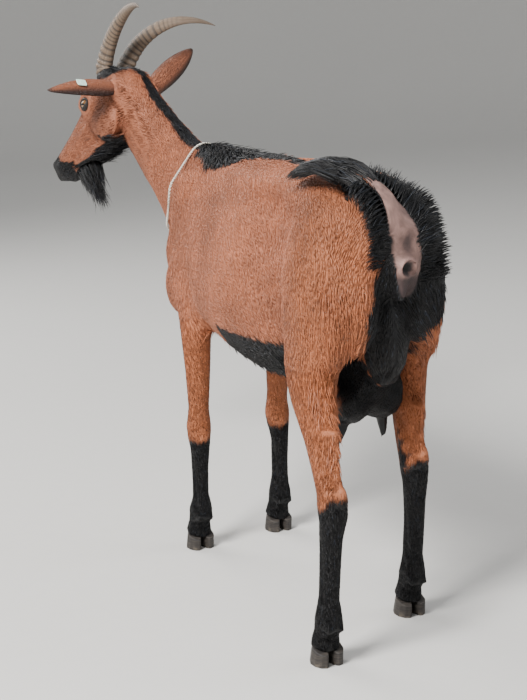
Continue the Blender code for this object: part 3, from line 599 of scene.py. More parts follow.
def with_ears_and_lids(bare):
    """One mesh of the body's hide, the ears and the lids, and which of them each point is on."""
    form = bmesh.new()
    form.from_mesh(bare.data)
    parts, ear_grids = [np.full(len(form.verts), BODY)], {}
    for number, side in enumerate(SIDES, LEFT_EAR):
        points, faces, along, across, behind = ear_form(side)
        ear_grids[number] = (along, across, behind)
        add_closed(form, points, faces)
        parts.append(np.full(len(points), number))
    for side in SIDES:
        points, faces = lid_form(side)
        add_closed(form, points, faces)
        parts.append(np.full(len(points), LIDS))
    bmesh.ops.triangulate(form, faces=form.faces[:])
    form.to_mesh(bare.data)
    form.free()
    return bare, np.concatenate(parts), ear_grids


hide, hide_part, ear_grids = with_ears_and_lids(whole_hide())
hide.data.shade_smooth()

# ------------------------------------------------------------------ the markings
# A bay doe with black legs, belly, udder, beard, jaw and muzzle, a dark stripe down the face, and
# one from poll to tail that widens over the withers and rump. The strip under the tail, round
# anus and vulva, is bare and greyish pink.
BAY = np.array((0.345, 0.119, 0.060))
ORANGE_BAY = np.array((0.345, 0.113, 0.048))
BROWN_FACE = np.array((0.270, 0.094, 0.048))
BLACK = np.array((0.0030, 0.0029, 0.0037))
BARE_PINK = np.array((0.205, 0.122, 0.106))
DARK_SKIN = np.array((0.024, 0.017, 0.019))
LID_SKIN = np.array((0.016, 0.013, 0.012))
CREST = [(0.000, -0.300, 0.762), (0.000, -0.376, 0.760), (0.008, -0.420, 0.770),
         (0.012, -0.463, 0.796), (0.030, -0.500, 0.838), (0.052, -0.552, 0.888),
         (0.060, -0.578, 0.904)]


def wander(points, size, seed):
    """A smooth irregular pattern, mostly between -1 and 1, with swells of about the given size."""
    draw = np.random.default_rng(seed)
    total = np.zeros(len(points))
    for _ in range(8):
        way = unit(draw.normal(size=3)) * 2 * math.pi / size * draw.uniform(0.5, 1.5)
        total += np.sin(points @ way + draw.uniform(0, 2 * math.pi))
    return total / 3.0


def on_dock(points):
    """Where points lie round the dock: row along it, out sideways, out below, and nearness."""
    middles, runs, sideways = dock_frames()
    under = np.cross(runs, sideways)
    gaps = np.stack([((points - row) ** 2).sum(axis=1) for row in middles], axis=1)
    row = gaps.argmin(axis=1)
    chosen = points - middles[row]
    return (row, (chosen * sideways[row]).sum(axis=1), (chosen * under[row]).sum(axis=1),
            np.sqrt(gaps.min(axis=1)))


BARE_STRIP = [(-0.014, 0.420, 0.545), (-0.017, 0.415, 0.575), (-0.014, 0.412, 0.610),
              (-0.011, 0.410, 0.640), (-0.003, 0.410, 0.675), (0.008, 0.407, 0.708),
              (0.023, 0.395, 0.737), (0.041, 0.373, 0.752)]


def bareness(points):
    """1 on the naked tongue-shaped strip under the tail and round the anus, 0 in the coat."""
    body = to_body(points)
    flatter = np.array([1, 0.3, 1])
    away, place = near_path(body * flatter, np.array(BARE_STRIP) * flatter)
    wide = np.interp(place, [0.0, 0.14, 0.28, 0.43, 0.57, 0.71, 0.86, 1.0],
                     [0.008, 0.0190, 0.0240, 0.0240, 0.0215, 0.0185, 0.0120, 0.0040])
    wide = wide + 0.0006 * wander(points, 0.02, 5)
    behind = np.minimum(body[:, 1] - 0.352, 0.762 - body[:, 2])
    _, _, below, _ = on_dock(points)
    behind = np.where(body[:, 2] > 0.655, np.minimum(behind, below + 0.0015), behind)
    return ramp(wide - away, -0.0008, 0.0012) * ramp(behind, 0.0, 0.003)


def darkness(points, normals):
    """1 in the black markings, 0 in the bay."""
    body, head = to_body(points), to_head(points)
    x, y, z = body.T
    side, face = np.abs(x), of_head(points)
    inward = -normals[:, 0] * np.sign(x)
    ragged = 0.0032 * wander(points, 0.028, 1) + 0.0020 * wander(points, 0.008, 2)
    # Each mark is a distance: above 0 inside it. The legs are black up to knee and hock.
    fore_line = np.clip(0.240 - 0.87 * (y + 0.275), 0.222, 0.262)
    hock = np.where(x > 0.02, 0.395, 0.277)
    hind_line = np.clip(0.262 + 0.6 * (y - hock), 0.250, 0.285)
    legs = np.where(y < 0.05, fore_line, hind_line) - z
    # Beside the bare strip, wider on the right haunch, and down between the thighs.
    left_width = np.interp(z, [0.47, 0.50, 0.52, 0.562, 0.578, 0.629, 0.659, 0.70, 0.75],
                           [0.050, 0.052, 0.058, 0.062, 0.044, 0.034, 0.034, 0.036, 0.042])
    right_width = np.interp(z, [0.47, 0.515, 0.545, 0.60, 0.66, 0.70, 0.75],
                            [0.047, 0.056, 0.100, 0.120, 0.116, 0.105, 0.080])
    rear_width = np.where(x > -0.003, left_width, right_width)
    rear = np.minimum(rear_width - np.abs(x + 0.003), y - np.where(x > -0.003, 0.335, 0.308))
    rear = np.minimum(rear, z - 0.40)
    facing_in = np.interp(z, [0.30, 0.42, 0.47, 0.52], [1.05, 1.00, 0.80, 0.66])
    thighs = np.minimum.reduce([(inward - facing_in) * 0.04, 0.53 - z, z - 0.375, y - 0.165])
    # Belly and udder, then the stripe along the back and the one up the crest.
    belly = np.minimum.reduce([0.478 - z, 0.200 - y, y + 0.030 + 3.0 * np.maximum(0.450 - z, 0),
                               np.where(y < -0.12, 0.040 - side, 0.3), z - 0.30])
    bag = np.minimum.reduce([0.060 - side, 0.475 - z, y - 0.16, 0.340 - y])
    top_width = np.interp(y, [-0.40, -0.30, -0.22, -0.14, -0.10, 0, 0.10, 0.18, 0.27, 0.31, 0.36],
                          [.014, .030, .052, .050, .030, .014, .018, .034, .038, .050, .056])
    top_width = top_width + 0.030 * ramp(y, 0.16, 0.27) * (x < 0)
    floor_of_top = 0.62 + 0.100 * ramp(y, 0.24, 0.30)
    top = np.minimum.reduce([top_width - side, (normals[:, 2] - 0.10) * 0.05, z - floor_of_top,
                             y + 0.33])
    from_crest, up_crest = near_path(body, CREST)
    crest = (0.021 - 0.009 * up_crest) - from_crest
    black = np.maximum.reduce([legs, rear, thighs, belly, bag, top])
    black = ramp(black + ragged, -0.0035, 0.0035) * (1 - face)
    # On the head: stripe down the face, rings round the eyes, jaw, poll and muzzle.
    ahead, out = head[:, 0], head[:, 2]
    width = np.abs(head[:, 1])
    stripe = np.interp(ahead, [0.03, 0.08, 0.12, 0.20, 0.24], [0.016, 0.012, 0.011, 0.013, 0.024])
    stripe = np.minimum(stripe - width, (faces_up(normals) - 0.35) * 0.03)
    ring = from_nearer_eye(points)
    jaw = np.minimum.reduce([(-faces_up(normals) - 0.50) * 0.03, ahead - 0.082, -0.080 - out])
    poll = np.minimum.reduce([0.046 - width, 0.056 - ahead, out + 0.012, ahead + 0.030])
    muzzle = ahead - 0.230 + 0.022 * ramp(-out, 0.070, 0.088)
    marks = np.maximum.reduce([stripe, muzzle, 0.0170 - ring, jaw])
    line = ramp(np.maximum(crest, poll) + 0.5 * ragged, -0.0030, 0.0030)
    return np.maximum.reduce([black, ramp(marks + 0.5 * ragged, -0.0025, 0.0025) * face, line])


def coat_colours(points, normals, skin=False):
    """Colours of hair at places on the body, or of the skin with what is bare of it."""
    body, face = to_body(points), of_head(points)[:, None]
    warm = np.maximum(ramp(body[:, 1], 0.20, 0.32), 1 - ramp(body[:, 2], 0.38, 0.50))[:, None]
    colour = BAY + (ORANGE_BAY - BAY) * warm
    colour = colour + (BROWN_FACE - colour) * face
    uneven = 1 + 0.11 * wander(points, 0.14, 3) + 0.08 * wander(points, 0.035, 4)
    colour = colour * uneven[:, None]
    # A darker saddle over each hip.
    saddle = np.exp(-(((np.abs(body[:, 0]) - 0.075) / 0.055) ** 2
                      + ((body[:, 1] - 0.285) / 0.075) ** 2
                      + ((body[:, 2] - 0.700) / 0.045) ** 2))
    colour = colour * (1 - 0.30 * saddle)[:, None]
    black = darkness(points, normals)[:, None]
    grizzle = 1 + 0.3 * np.maximum(wander(points, 0.02, 6), 0)[:, None]
    colour = colour + (BLACK * grizzle - colour) * black
    bare = bareness(points)[:, None] * skin
    mottling = 1 + 0.22 * wander(points, 0.012, 7) + 0.10 * wander(points, 0.004, 8)
    mottled = BARE_PINK * mottling[:, None]
    # The anus has a pale rim and a dark hollow, darkened further by painted shade; below it
    # and higher up the skin is darker again.
    ring = np.hypot(body[:, 0] - REAR_MIDDLE, body[:, 2] - REAR_HEIGHT)
    mottled = mottled * (1 + 0.45 * np.exp(-((ring - 0.0150) / 0.0022) ** 2))[:, None]
    dark = np.maximum(1 - ramp(ring, 0.0095, 0.0125), 0.9 * (1 - ramp(body[:, 2], 0.596, 0.607)))
    patch = np.hypot(body[:, 0] + 0.010, (body[:, 2] - 0.650) * 0.5)
    dark = np.maximum(dark, 0.75 * (1 - ramp(patch, 0.004, 0.014)))[:, None]
    colour = colour + (mottled + (DARK_SKIN - mottled) * dark * 0.95 - colour) * bare
    # Painted shade: the anus's hollow is darkened nearly to black.
    colour = colour * (1 - 0.85 * (1 - ramp(ring, 0.0060, 0.0090))[:, None] * bare)
    return np.clip(colour, 0.001, 0.9)


def ear_colours(number):
    """Bay behind, pale grey within, black at the tip and round the rim. Painted shade darkens the
    back towards both rims, and the rim that hangs lower nearly to black.
    """
    along, across, behind = ear_grids[number]
    side = list(SIDES)[number - LEFT_EAR]
    rims = ear_place(side, np.array([0.5, 0.5]), np.array([-1.0, 1.0]))[0][:, 2]
    # Painted shade along the rim that hangs lower, as on the ear's underside.
    lower_rim_painted_shade = ramp(across * (1 if rims[1] < rims[0] else -1), 0.35, 0.85)
    # The back is darker than bay, and painted shade deepens it towards both rims.
    back_painted_shade = (0.78 - 0.20 * ramp(np.abs(across), 0.35, 0.95))[:, None]
    colour = np.where((behind < 0)[:, None], np.array((0.235, 0.150, 0.115)), BAY * back_painted_shade)
    dark = np.maximum(lower_rim_painted_shade, ramp(along, 0.90, 0.99))[:, None] * 0.88
    rim = (np.abs(across) > 0.93)[:, None] * 0.35
    return colour + (BLACK * 1.4 - colour) * np.maximum(dark, rim)


def put_colours(mesh, colours):
    """Store a colour for each point of a mesh."""
    layer = mesh.color_attributes.new("coat_colour", "FLOAT_COLOR", "POINT")
    shades = np.ones((len(colours), 4), np.float32)
    shades[:, :3] = colours
    layer.data.foreach_set("color", shades.ravel())


hide_points, hide_normals = points_of(hide), normals_of(hide)
hide_colours = coat_colours(hide_points, hide_normals, True)
for number in ear_grids:
    hide_colours[hide_part == number] = ear_colours(number)
hide_colours[hide_part == LIDS] = LID_SKIN
put_colours(hide.data, hide_colours)


class Fed:
    """A value in a material that takes part in sums."""

    def __init__(self, look, socket):
        self.look, self.socket = look, socket

    def sum_of(self, kind, first, second):
        made = self.look.tree.nodes.new("ShaderNodeMath")
        made.operation = kind
        for slot, value in zip(made.inputs, (first, second)):
            self.look.feed(slot, value)
        return Fed(self.look, made.outputs[0])

    def __add__(self, other):
        return self.sum_of("ADD", self, other)

    def __radd__(self, other):
        return self.sum_of("ADD", other, self)

    def __rsub__(self, other):
        return self.sum_of("SUBTRACT", other, self)

    def __mul__(self, other):
        return self.sum_of("MULTIPLY", self, other)

    def __rmul__(self, other):
        return self.sum_of("MULTIPLY", other, self)

    def __truediv__(self, other):
        return self.sum_of("DIVIDE", self, other)

    def __pow__(self, other):
        return self.sum_of("POWER", self, other)


class Look:
    """A material being put together on one surface shader."""

    def __init__(self, name, **settings):
        self.material = bpy.data.materials.new(name)
        self.material.use_nodes = True
        self.tree = self.material.node_tree
        self.surface = self.tree.nodes["Principled BSDF"]
        for socket, value in settings.items():
            self.surface.inputs[socket.replace("_", " ")].default_value = value
        self.place = self.node("TexCoord", "Object")

    def feed(self, slot, value):
        """Join a value to a socket, or set it there."""
        if isinstance(value, Fed):
            self.tree.links.new(value.socket, slot)
        else:
            slot.default_value = value

    def node(self, kind, output, settings=None, **sockets):
        """Any node: its settings, what feeds its sockets, and the output that is wanted."""
        made = self.tree.nodes.new("ShaderNode" + kind)
        for name, value in (settings or {}).items():
            setattr(made, name, value)
        for name, value in sockets.items():
            self.feed(made.inputs[name.replace("_", " ")], value)
        return Fed(self, made.outputs[output])

    def carried(self, name, output="Fac"):
        """What the mesh carries under a name, point by point."""
        return self.node("Attribute", output, {"attribute_name": name})

    def parts_of(self, vector):
        """The three parts of a vector."""
        made = self.node("SeparateXYZ", "X", Vector=vector).socket.node
        return [Fed(self, output) for output in made.outputs]

    def grain(self, scale, detail=3.0, place=None):
        """Noise from 0 to 1 whose swells are 1/scale metres."""
        return self.node("TexNoise", "Fac", Vector=place or self.place, Scale=scale, Detail=detail)

    def vector_times(self, vector, factors):
        """A vector with each part multiplied."""
        made = self.tree.nodes.new("ShaderNodeVectorMath")
        made.operation = "MULTIPLY"
        self.feed(made.inputs[0], vector)
        made.inputs[1].default_value = factors
        return Fed(self, made.outputs[0])

    def mixed(self, share, first, second):
        """Between two colours."""
        made = self.tree.nodes.new("ShaderNodeMix")
        made.data_type = "RGBA"
        self.feed(made.inputs["Factor"], share)
        for slot, value in zip((made.inputs[6], made.inputs[7]), (first, second)):
            self.feed(slot, (*value, 1.0) if isinstance(value, (tuple, np.ndarray)) else value)
        return Fed(self, made.outputs[2])

    def shaded(self, colour, amount):
        """A colour made lighter or darker by a factor."""
        made = self.tree.nodes.new("ShaderNodeVectorMath")
        made.operation = "SCALE"
        self.feed(made.inputs[0], colour)
        self.feed(made.inputs["Scale"], amount)
        return Fed(self, made.outputs[0])

    def step(self, value, low, high):
        """0 below one value and 1 above the other."""
        return self.node("MapRange", 0, {"interpolation_type": "SMOOTHSTEP"}, Value=value,
                         From_Min=low, From_Max=high)

    def finish(self, colour, roughness=None, height=None, depth=0.0005, strength=1.0):
        """Join colour, roughness and relief to the surface."""
        self.feed(self.surface.inputs["Base Color"], colour)
        if roughness is not None:
            self.feed(self.surface.inputs["Roughness"], roughness)
        if height is not None:
            self.feed(self.surface.inputs["Normal"],
                      self.node("Bump", 0, Height=height, Distance=depth, Strength=strength))
        return self.material


skin_look = Look("skin", Roughness=0.6, Specular_IOR_Level=0.35)
skin_tone = skin_look.carried("coat_colour", "Color")
skin_fine = skin_look.grain(900.0)
skin_broad = skin_look.grain(160.0)
hide.data.materials.append(skin_look.finish(
    skin_look.shaded(skin_tone, 0.78 + 0.34 * skin_fine + 0.10 * skin_broad),
    roughness=0.48 + 0.22 * skin_fine, height=skin_fine + 0.5 * skin_broad, depth=0.0006))
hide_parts(*FLESH, "ear_left", "ear_right")
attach(hide, "root")

# ------------------------------------------------------------------ the short coat
# Flat, glossy guard hair in small tufts that overlap like thatch: shortest on face, ears and
# feet, longest over the withers. It lies back and down the body, and down the legs.
LIE_ON_BODY = np.array([
    # x, y, z, and the way the hair runs there
    (0.00, -0.16, 0.80, 0.15, 1.00, -0.10), (0.00, 0.00, 0.77, 0.10, 1.00, 0.00),
    (0.00, 0.20, 0.77, 0.05, 1.00, 0.00), (0.03, 0.32, 0.74, 0.25, 1.00, -0.50),
    (0.08, -0.22, 0.74, 0.30, 0.80, -0.60), (0.12, -0.22, 0.62, 0.00, 0.60, -0.80),
    (0.10, -0.30, 0.55, 0.00, 0.35, -1.00), (0.14, 0.00, 0.68, 0.00, 0.85, -0.55),
    (0.15, 0.00, 0.56, 0.00, 0.90, -0.42), (0.10, 0.00, 0.46, -0.40, 0.90, -0.20),
    (0.00, 0.00, 0.43, 0.00, 1.00, 0.05), (0.12, 0.15, 0.66, 0.00, 0.75, -0.65),
    (0.12, 0.16, 0.54, 0.00, 0.60, -0.80), (0.09, 0.27, 0.70, 0.10, 0.65, -0.80),
    (0.13, 0.28, 0.60, 0.00, 0.40, -0.95), (0.10, 0.38, 0.56, 0.05, 0.15, -1.00),
    (0.03, 0.40, 0.56, 0.45, 0.10, -0.90), (0.04, 0.38, 0.68, 0.60, 0.10, -0.75),
    (0.12, 0.25, 0.45, 0.00, 0.30, -1.00), (0.12, 0.34, 0.36, 0.00, 0.20, -1.00),
    (0.12, 0.38, 0.27, 0.00, 0.00, -1.00), (0.10, 0.30, 0.10, 0.00, 0.00, -1.00),
    (0.09, -0.27, 0.42, 0.00, 0.25, -1.00), (0.09, -0.27, 0.25, 0.00, 0.10, -1.00),
    (0.09, -0.28, 0.10, 0.00, 0.05, -1.00), (0.00, -0.36, 0.50, 0.10, 0.10, -1.00),
    (0.00, -0.25, 0.44, 0.00, 0.90, -0.30), (0.06, -0.33, 0.66, 0.05, 0.55, -0.85),
    (0.05, -0.40, 0.70, 0.00, 0.50, -0.85), (0.00, -0.40, 0.62, 0.10, 0.25, -1.00),
    (0.05, -0.48, 0.78, 0.00, 0.60, -0.75), (0.02, -0.44, 0.78, 0.05, 0.85, -0.50),
    (0.05, -0.55, 0.88, 0.00, 0.80, -0.60), (0.02, 0.28, 0.44, 0.10, 0.10, -1.00)])
LIE_ON_HEAD = np.array([
    (0.02, 0.000, 0.02, -1.0, 0.00, 0.30), (0.08, 0.000, 0.00, -1.0, 0.00, 0.20),
    (0.07, 0.035, 0.00, -0.9, 0.30, 0.10), (0.18, 0.000, -0.03, -1.0, 0.00, 0.00),
    (0.24, 0.000, -0.06, -1.0, 0.25, 0.00), (0.20, 0.030, -0.06, -1.0, 0.10, -0.15),
    (0.15, 0.036, -0.06, -1.0, 0.10, -0.30), (0.08, 0.045, -0.08, -0.9, 0.00, -0.50),
    (0.03, 0.045, -0.06, -1.0, 0.00, -0.30), (0.03, 0.035, -0.11, -0.9, 0.00, -0.50),
    (0.12, 0.015, -0.11, -1.0, 0.00, -0.25), (0.20, 0.015, -0.10, -1.0, 0.00, -0.35),
    (0.10, 0.045, -0.05, -1.0, 0.10, -0.35)])


def lie_among(places, stations, spread):
    """The way the hair runs, blended from the nearest stations."""
    ways, total = np.zeros_like(places), np.zeros(len(places))
    for row in stations:
        weight = 1 / (((places - row[:3]) ** 2).sum(axis=1) + spread ** 2) ** 2
        ways += weight[:, None] * row[3:]
        total += weight
    return ways / total[:, None]


def lie_of_coat(points, normals, parts):
    """Which way the hair runs at places on the hide."""
    body, head = to_body(points), to_head(points)
    ways = unit(lie_among(folded(body, 0), LIE_ON_BODY, 0.030))
    ways[:, 0] *= np.sign(body[:, 0])
    face_ways = unit(lie_among(folded(head, 1), LIE_ON_HEAD, 0.012))
    face_ways[:, 1] *= np.sign(head[:, 1])
    face_ways = unit(face_ways @ HEAD_ARRAY[:3, :3].T)
    face = of_head(points)[:, None]
    ways = ways * (1 - face) + face_ways * face
    for side in SIDES:
        away, reach = from_eye(points, side)
        ways += 1.3 * (away / reach[:, None]) * (1 - ramp(reach, 0.022, 0.034))[:, None]
    for number, side in enumerate(SIDES, LEFT_EAR):
        reach = unit(HEAD_ARRAY[:3, :3] @ np.array(EAR_REACH[side]))
        ways[parts == number] = reach
    _, runs, sideways = dock_frames()
    row, aside, _, away = on_dock(points)
    dock = (ramp(0.034 - away, 0.0, 0.010) * ramp(row, 4, 9))[:, None]
    ways += dock * (runs[row] * 1.2 + sideways[row] * np.sign(aside)[:, None] * 0.8 - ways)
    swirl = np.stack([wander(points, 0.11, seed) for seed in (21, 22, 23)], axis=1)
    ways = unit(ways) + 0.09 * swirl
    return unit(ways - normals * (ways * normals).sum(axis=1)[:, None])


UDDER_AND_EAR_HAIR = 0.0065


def on_ear(parts):
    """True on either ear."""
    return (parts == LEFT_EAR) | (parts == RIGHT_EAR)


def hair_lengths(points, parts):
    """How long the short coat is at places on the hide."""
    body, head = to_body(points), to_head(points)
    x, y, z = body.T
    length = np.interp(z, [0.04, 0.10, 0.26, 0.40, 0.50], [0.006, 0.0080, 0.0090, 0.012, 0.0155])
    top = ramp(z, 0.66, 0.74) * (1 - ramp(np.abs(x), 0.03, 0.08))
    length = length + 0.006 * top + 0.002 * ramp(y, 0.28, 0.38) * ramp(z, 0.36, 0.42)
    length = length - 0.005 * (1 - ramp(y, -0.42, -0.34)) * ramp(z, 0.5, 0.6)
    bag = (np.abs(x) < 0.06) * between(y, 0.17, 0.345) * between(z, 0.28, 0.46)
    length = np.where(bag, UDDER_AND_EAR_HAIR, length)
    on_face = np.interp(head[:, 0], [-0.02, 0.03, 0.09, 0.20, 0.25],
                        [.014, .010, .0078, .0062, .0045])
    on_face = on_face + 0.004 * ramp(-head[:, 2], 0.06, 0.10)
    length = length + (on_face - length) * of_head(points)
    return np.where(on_ear(parts), UDDER_AND_EAR_HAIR, length)


def coated(points):
    """1 where hair grows, 0 on lids, lips, nostrils, teats and the bare skin under the tail."""
    head, body = to_head(points), to_body(points)
    share = 1 - bareness(points)
    for side in SIDES:
        away, reach = from_eye(points, side)
        share *= 1 - (reach < EYE_RADIUS + 0.006) * (from_gaze(away, reach, side) < 70)
    share *= 1 - of_head(points) * ramp(head[:, 0], 0.246, 0.252)
    share *= 1 - (np.abs(body[:, 0]) < 0.06) * between(body[:, 1], 0.2, 0.3) \
        * between(body[:, 2], 0.30, 0.352)
    return share


hide_triangles = numbers_of(hide.data.polygons, "vertices", 3, np.int32)
hide_tree = BVHTree.FromPolygons(hide_points.tolist(), hide_triangles.tolist())


def roots_on_hide(amount):
    """Roots, so many to the square metre as the function gives: point, normal, part, colour."""
    corners = hide_points[hide_triangles]
    areas = np.linalg.norm(np.cross(corners[:, 1] - corners[:, 0],
                                    corners[:, 2] - corners[:, 0]), axis=1) / 2
    centres, outs = corners.mean(axis=1), unit(hide_normals[hide_triangles].mean(axis=1))
    parts = hide_part[hide_triangles[:, 0]]
    growing = np.cumsum(areas * amount(centres, outs, parts))
    count = int(growing[-1])
    spread = (np.arange(count) + chance.random(count)) * growing[-1] / count
    chosen = np.searchsorted(growing, spread)
    chosen = np.minimum(chosen, len(centres) - 1)
    first, second = chance.random((2, count))
    over = first + second > 1
    first, second = np.where(over, 1 - first, first), np.where(over, 1 - second, second)
    shares = np.stack([1 - first - second, first, second], axis=1)[:, :, None]
    picked = hide_triangles[chosen]
    return ((hide_points[picked] * shares).sum(axis=1),
            unit((hide_normals[picked] * shares).sum(axis=1)), parts[chosen],
            (hide_colours[picked] * shares).sum(axis=1))


def on_hide(points):
    """The nearest places on the hide, and the way out there."""
    found = [hide_tree.find_nearest(point) for point in points.tolist()]
    return np.array([hit[0] for hit in found]), np.array([hit[1] for hit in found])


PATCH_SIZE = 0.003              # of each tuft's patch on the map named OFBake


def strands(name, paths, outs, widths, colours, patches, flatness=0.55, rounded=True):
    """Closed three-sided tapering tufts along paths of the same number of points.

    Flatness is a tuft's thickness over its width, and rounded sides are shaded as one.
    """
    count, rows = paths.shape[0], paths.shape[1] - 1
    runs = unit(np.gradient(paths, axis=1))
    sides = unit(np.cross(runs, outs))
    outs = np.cross(sides, runs)
    half = widths[:, :, None] / 2
    rings = np.stack([paths - sides * half, paths + outs * half * 2 * flatness,
                      paths + sides * half], axis=2)[:, :rows].reshape(count, rows * 3, 3)
    points = np.concatenate([rings, paths[:, rows:]], axis=1)
    faces = [(2, 1, 0)]
    for row in range(rows - 1):
        for here in range(3):
            low, next_low = row * 3 + here, row * 3 + (here + 1) % 3
            faces += [(low, next_low, next_low + 3), (low, next_low + 3, low + 3)]
    last = (rows - 1) * 3
    faces += [(last + here, last + (here + 1) % 3, last + 3) for here in range(3)]
    each = rows * 3 + 1
    triangles = (np.array(faces)[None] + (np.arange(count) * each)[:, None, None]).reshape(-1, 3)
    mesh = bpy.data.meshes.new(name)
    mesh.vertices.add(count * each)
    mesh.vertices.foreach_set("co", points.astype(np.float32).ravel())
    mesh.loops.add(len(triangles) * 3)
    mesh.loops.foreach_set("vertex_index", triangles.astype(np.int32).ravel())
    mesh.polygons.add(len(triangles))
    mesh.polygons.foreach_set("loop_start", np.arange(0, len(triangles) * 3, 3, dtype=np.int32))
    mesh.update(calc_edges=True)
    if rounded:
        mesh.shade_smooth()
    shades = np.concatenate([np.repeat(colours[:, :rows], 3, axis=1), colours[:, rows:]], axis=1)
    put_colours(mesh, shades.reshape(-1, 3))
    spread = np.array([((k % 3) / 2 - 0.5, (k // 3) / rows - 0.5) for k in range(each)])
    spread *= PATCH_SIZE
    spread[-1] = (0.0, PATCH_SIZE / 2)
    places = (patches[:, None] + spread[None]).reshape(-1, 2)
    layer = mesh.uv_layers.new(name="OFBake")
    layer.data.foreach_set("uv", places[triangles.ravel()].astype(np.float32).ravel())
    return placed(name, mesh)


def unrolled(points, start, end, share=(0.0, 1.0)):
    """Places unrolled round the line from start to end, in a band of the map's width."""
    start, end = np.array(start), np.array(end)
    run = end - start
    along = np.clip((points - start) @ run / (run @ run), 0, 1)
    first = unit(np.cross(run, (0.0, 0.3, 1.0) if abs(run[2]) < abs(run[1]) else (0.0, 1.0, 0.0)))
    second = unit(np.cross(run, first))
    away = points - start
    round_it = np.arctan2(away @ first, away @ second) / (2 * math.pi) + 0.5
    return np.stack([0.005 + 0.99 * (share[0] + (share[1] - share[0]) * round_it),
                     0.005 + 0.99 * along], axis=1)


def patch_places(points, region):
    """Where roots lie on an unwrap of the skin, for one region of the coat."""
    body = to_body(points)
    if region == "head":
        flat = unrolled(points, on_head(-0.06, 0, -0.04), on_head(0.27, 0, -0.07))
    elif region == "neck":
        flat = unrolled(points, on_body(0.04, -0.56, 0.88), on_body(0, -0.26, 0.60))
    elif region in ("fore_legs", "hind_legs"):
        y = -0.275 if region == "fore_legs" else 0.32
        left = unrolled(points, on_body(0.10, y, 0.46), on_body(0.11, y, 0.02), (0.0, 0.5))
        right = unrolled(points, on_body(-0.08, y, 0.46), on_body(-0.083, y, 0.02), (0.5, 1.0))
        flat = np.where((body[:, 0] > 0)[:, None], left, right)
    else:
        flat = unrolled(points, on_body(0, -0.42, 0.60), on_body(0, 0.44, 0.60))
    return flat


def hair_material(name, gloss):
    """Hair that takes its colour from the mesh, finely streaked light and dark."""
    look = Look(name, Roughness=0.5, Specular_IOR_Level=gloss)
    tone = look.carried("coat_colour", "Color")
    fine = look.grain(1400.0)
    broad = look.grain(70.0)
    return look.finish(look.shaded(tone, 0.80 + 0.26 * fine + 0.16 * broad),
                       roughness=0.36 + 0.22 * fine, height=fine, depth=0.0003, strength=0.5)


coat_material = hair_material("coat", 0.42)
leg_material = hair_material("leg coat", 0.18)

density = 1.0            # share of the tufts and locks that are made
PAINTED_BLUE_SHEEN = np.array((0.012, 0.016, 0.024))    # painted sheen, added to the colour of some of the black hairs
PAINTED_SHEEN_TUFTS, PAINTED_SHEEN_LOCKS = 0.06, 0.12         # the share of them that gets this painted sheen
STRAY_TUFTS, STRAY_SHADE = 0.012, 0.62          # the share of the bay tufts that is darker


def is_black(colours):
    """True for hair of the black markings."""
    return colours.sum(axis=1) < 0.09


def tuft_width(lengths):
    """Short hair stands in narrower tufts."""
    return np.interp(lengths, [0.005, 0.010, 0.022, 0.03], [0.0012, 0.0015, 0.0021, 0.0023])


def short_coat_amount(points, _, parts):
    """Tufts to the square metre, so that they lie between two and three deep."""
    lengths = hair_lengths(points, parts)
    cover = np.interp(lengths, [0.006, 0.022], [2.3, 2.75]) * np.where(parts > BODY, 0.8, 1.0)
    return density * cover / (lengths * tuft_width(lengths)) * coated(points) * (parts < LIDS)


def laid_tufts(points, normals, parts, colours):
    """Paths, widths and colours of the short coat's tufts."""
    count, sunk = len(points), 0.0007
    lengths = hair_lengths(points, parts) * chance.uniform(0.75, 1.25, count)
    lengths = lengths * (0.5 + 0.5 * ramp(from_nearer_eye(points), 0.022, 0.040))
    ways = lie_of_coat(points, normals, parts)
    turn = chance.normal(0, 0.055, count)[:, None]
    ways = unit(ways * np.cos(turn) + np.cross(normals, ways) * np.sin(turn))
    depth = np.where(on_ear(parts), 0.0009, coat_depth(points))
    first, first_out = on_hide(points + ways * (0.45 * lengths)[:, None] + normals * 0.002)
    ahead = ways - first_out * (ways * first_out).sum(axis=1)[:, None]
    last, last_out = on_hide(first + unit(ahead) * (0.55 * lengths)[:, None] + first_out * 0.002)
    lift = depth[:, None] * chance.uniform(0.20, 0.42, (count, 1))
    tip_lift = depth[:, None] * chance.uniform(0.06, 0.38, (count, 1))
    paths = np.stack([points - normals * sunk, first + first_out * lift,
                      last + last_out * tip_lift], axis=1)
    outs = np.stack([normals, first_out, last_out], axis=1)
    wide = tuft_width(lengths) * chance.uniform(0.75, 1.25, count)
    widths = np.stack([wide * 0.75, wide, wide * 0.1], axis=1)
    lot = np.exp(chance.normal(0, 0.075, count))[:, None]
    shades = np.where((parts == BODY)[:, None], coat_colours(points, normals), colours) * lot
    dark = is_black(shades)
    # Painted sheen: a bluish grey added to the colour of some of the black tufts.
    painted_tuft_sheen = (dark * (chance.random(count) < PAINTED_SHEEN_TUFTS))[:, None] * PAINTED_BLUE_SHEEN
    shades = shades + painted_tuft_sheen
    stray = (~dark * (chance.random(count) < STRAY_TUFTS))[:, None]
    shades = np.where(stray, shades * STRAY_SHADE, shades)
    # Painted shade at each tuft's root and painted light at its tip.
    tones = np.stack([shades * 0.88, shades * 1.0, shades * 1.07], axis=1)
    return paths, outs, widths, tones


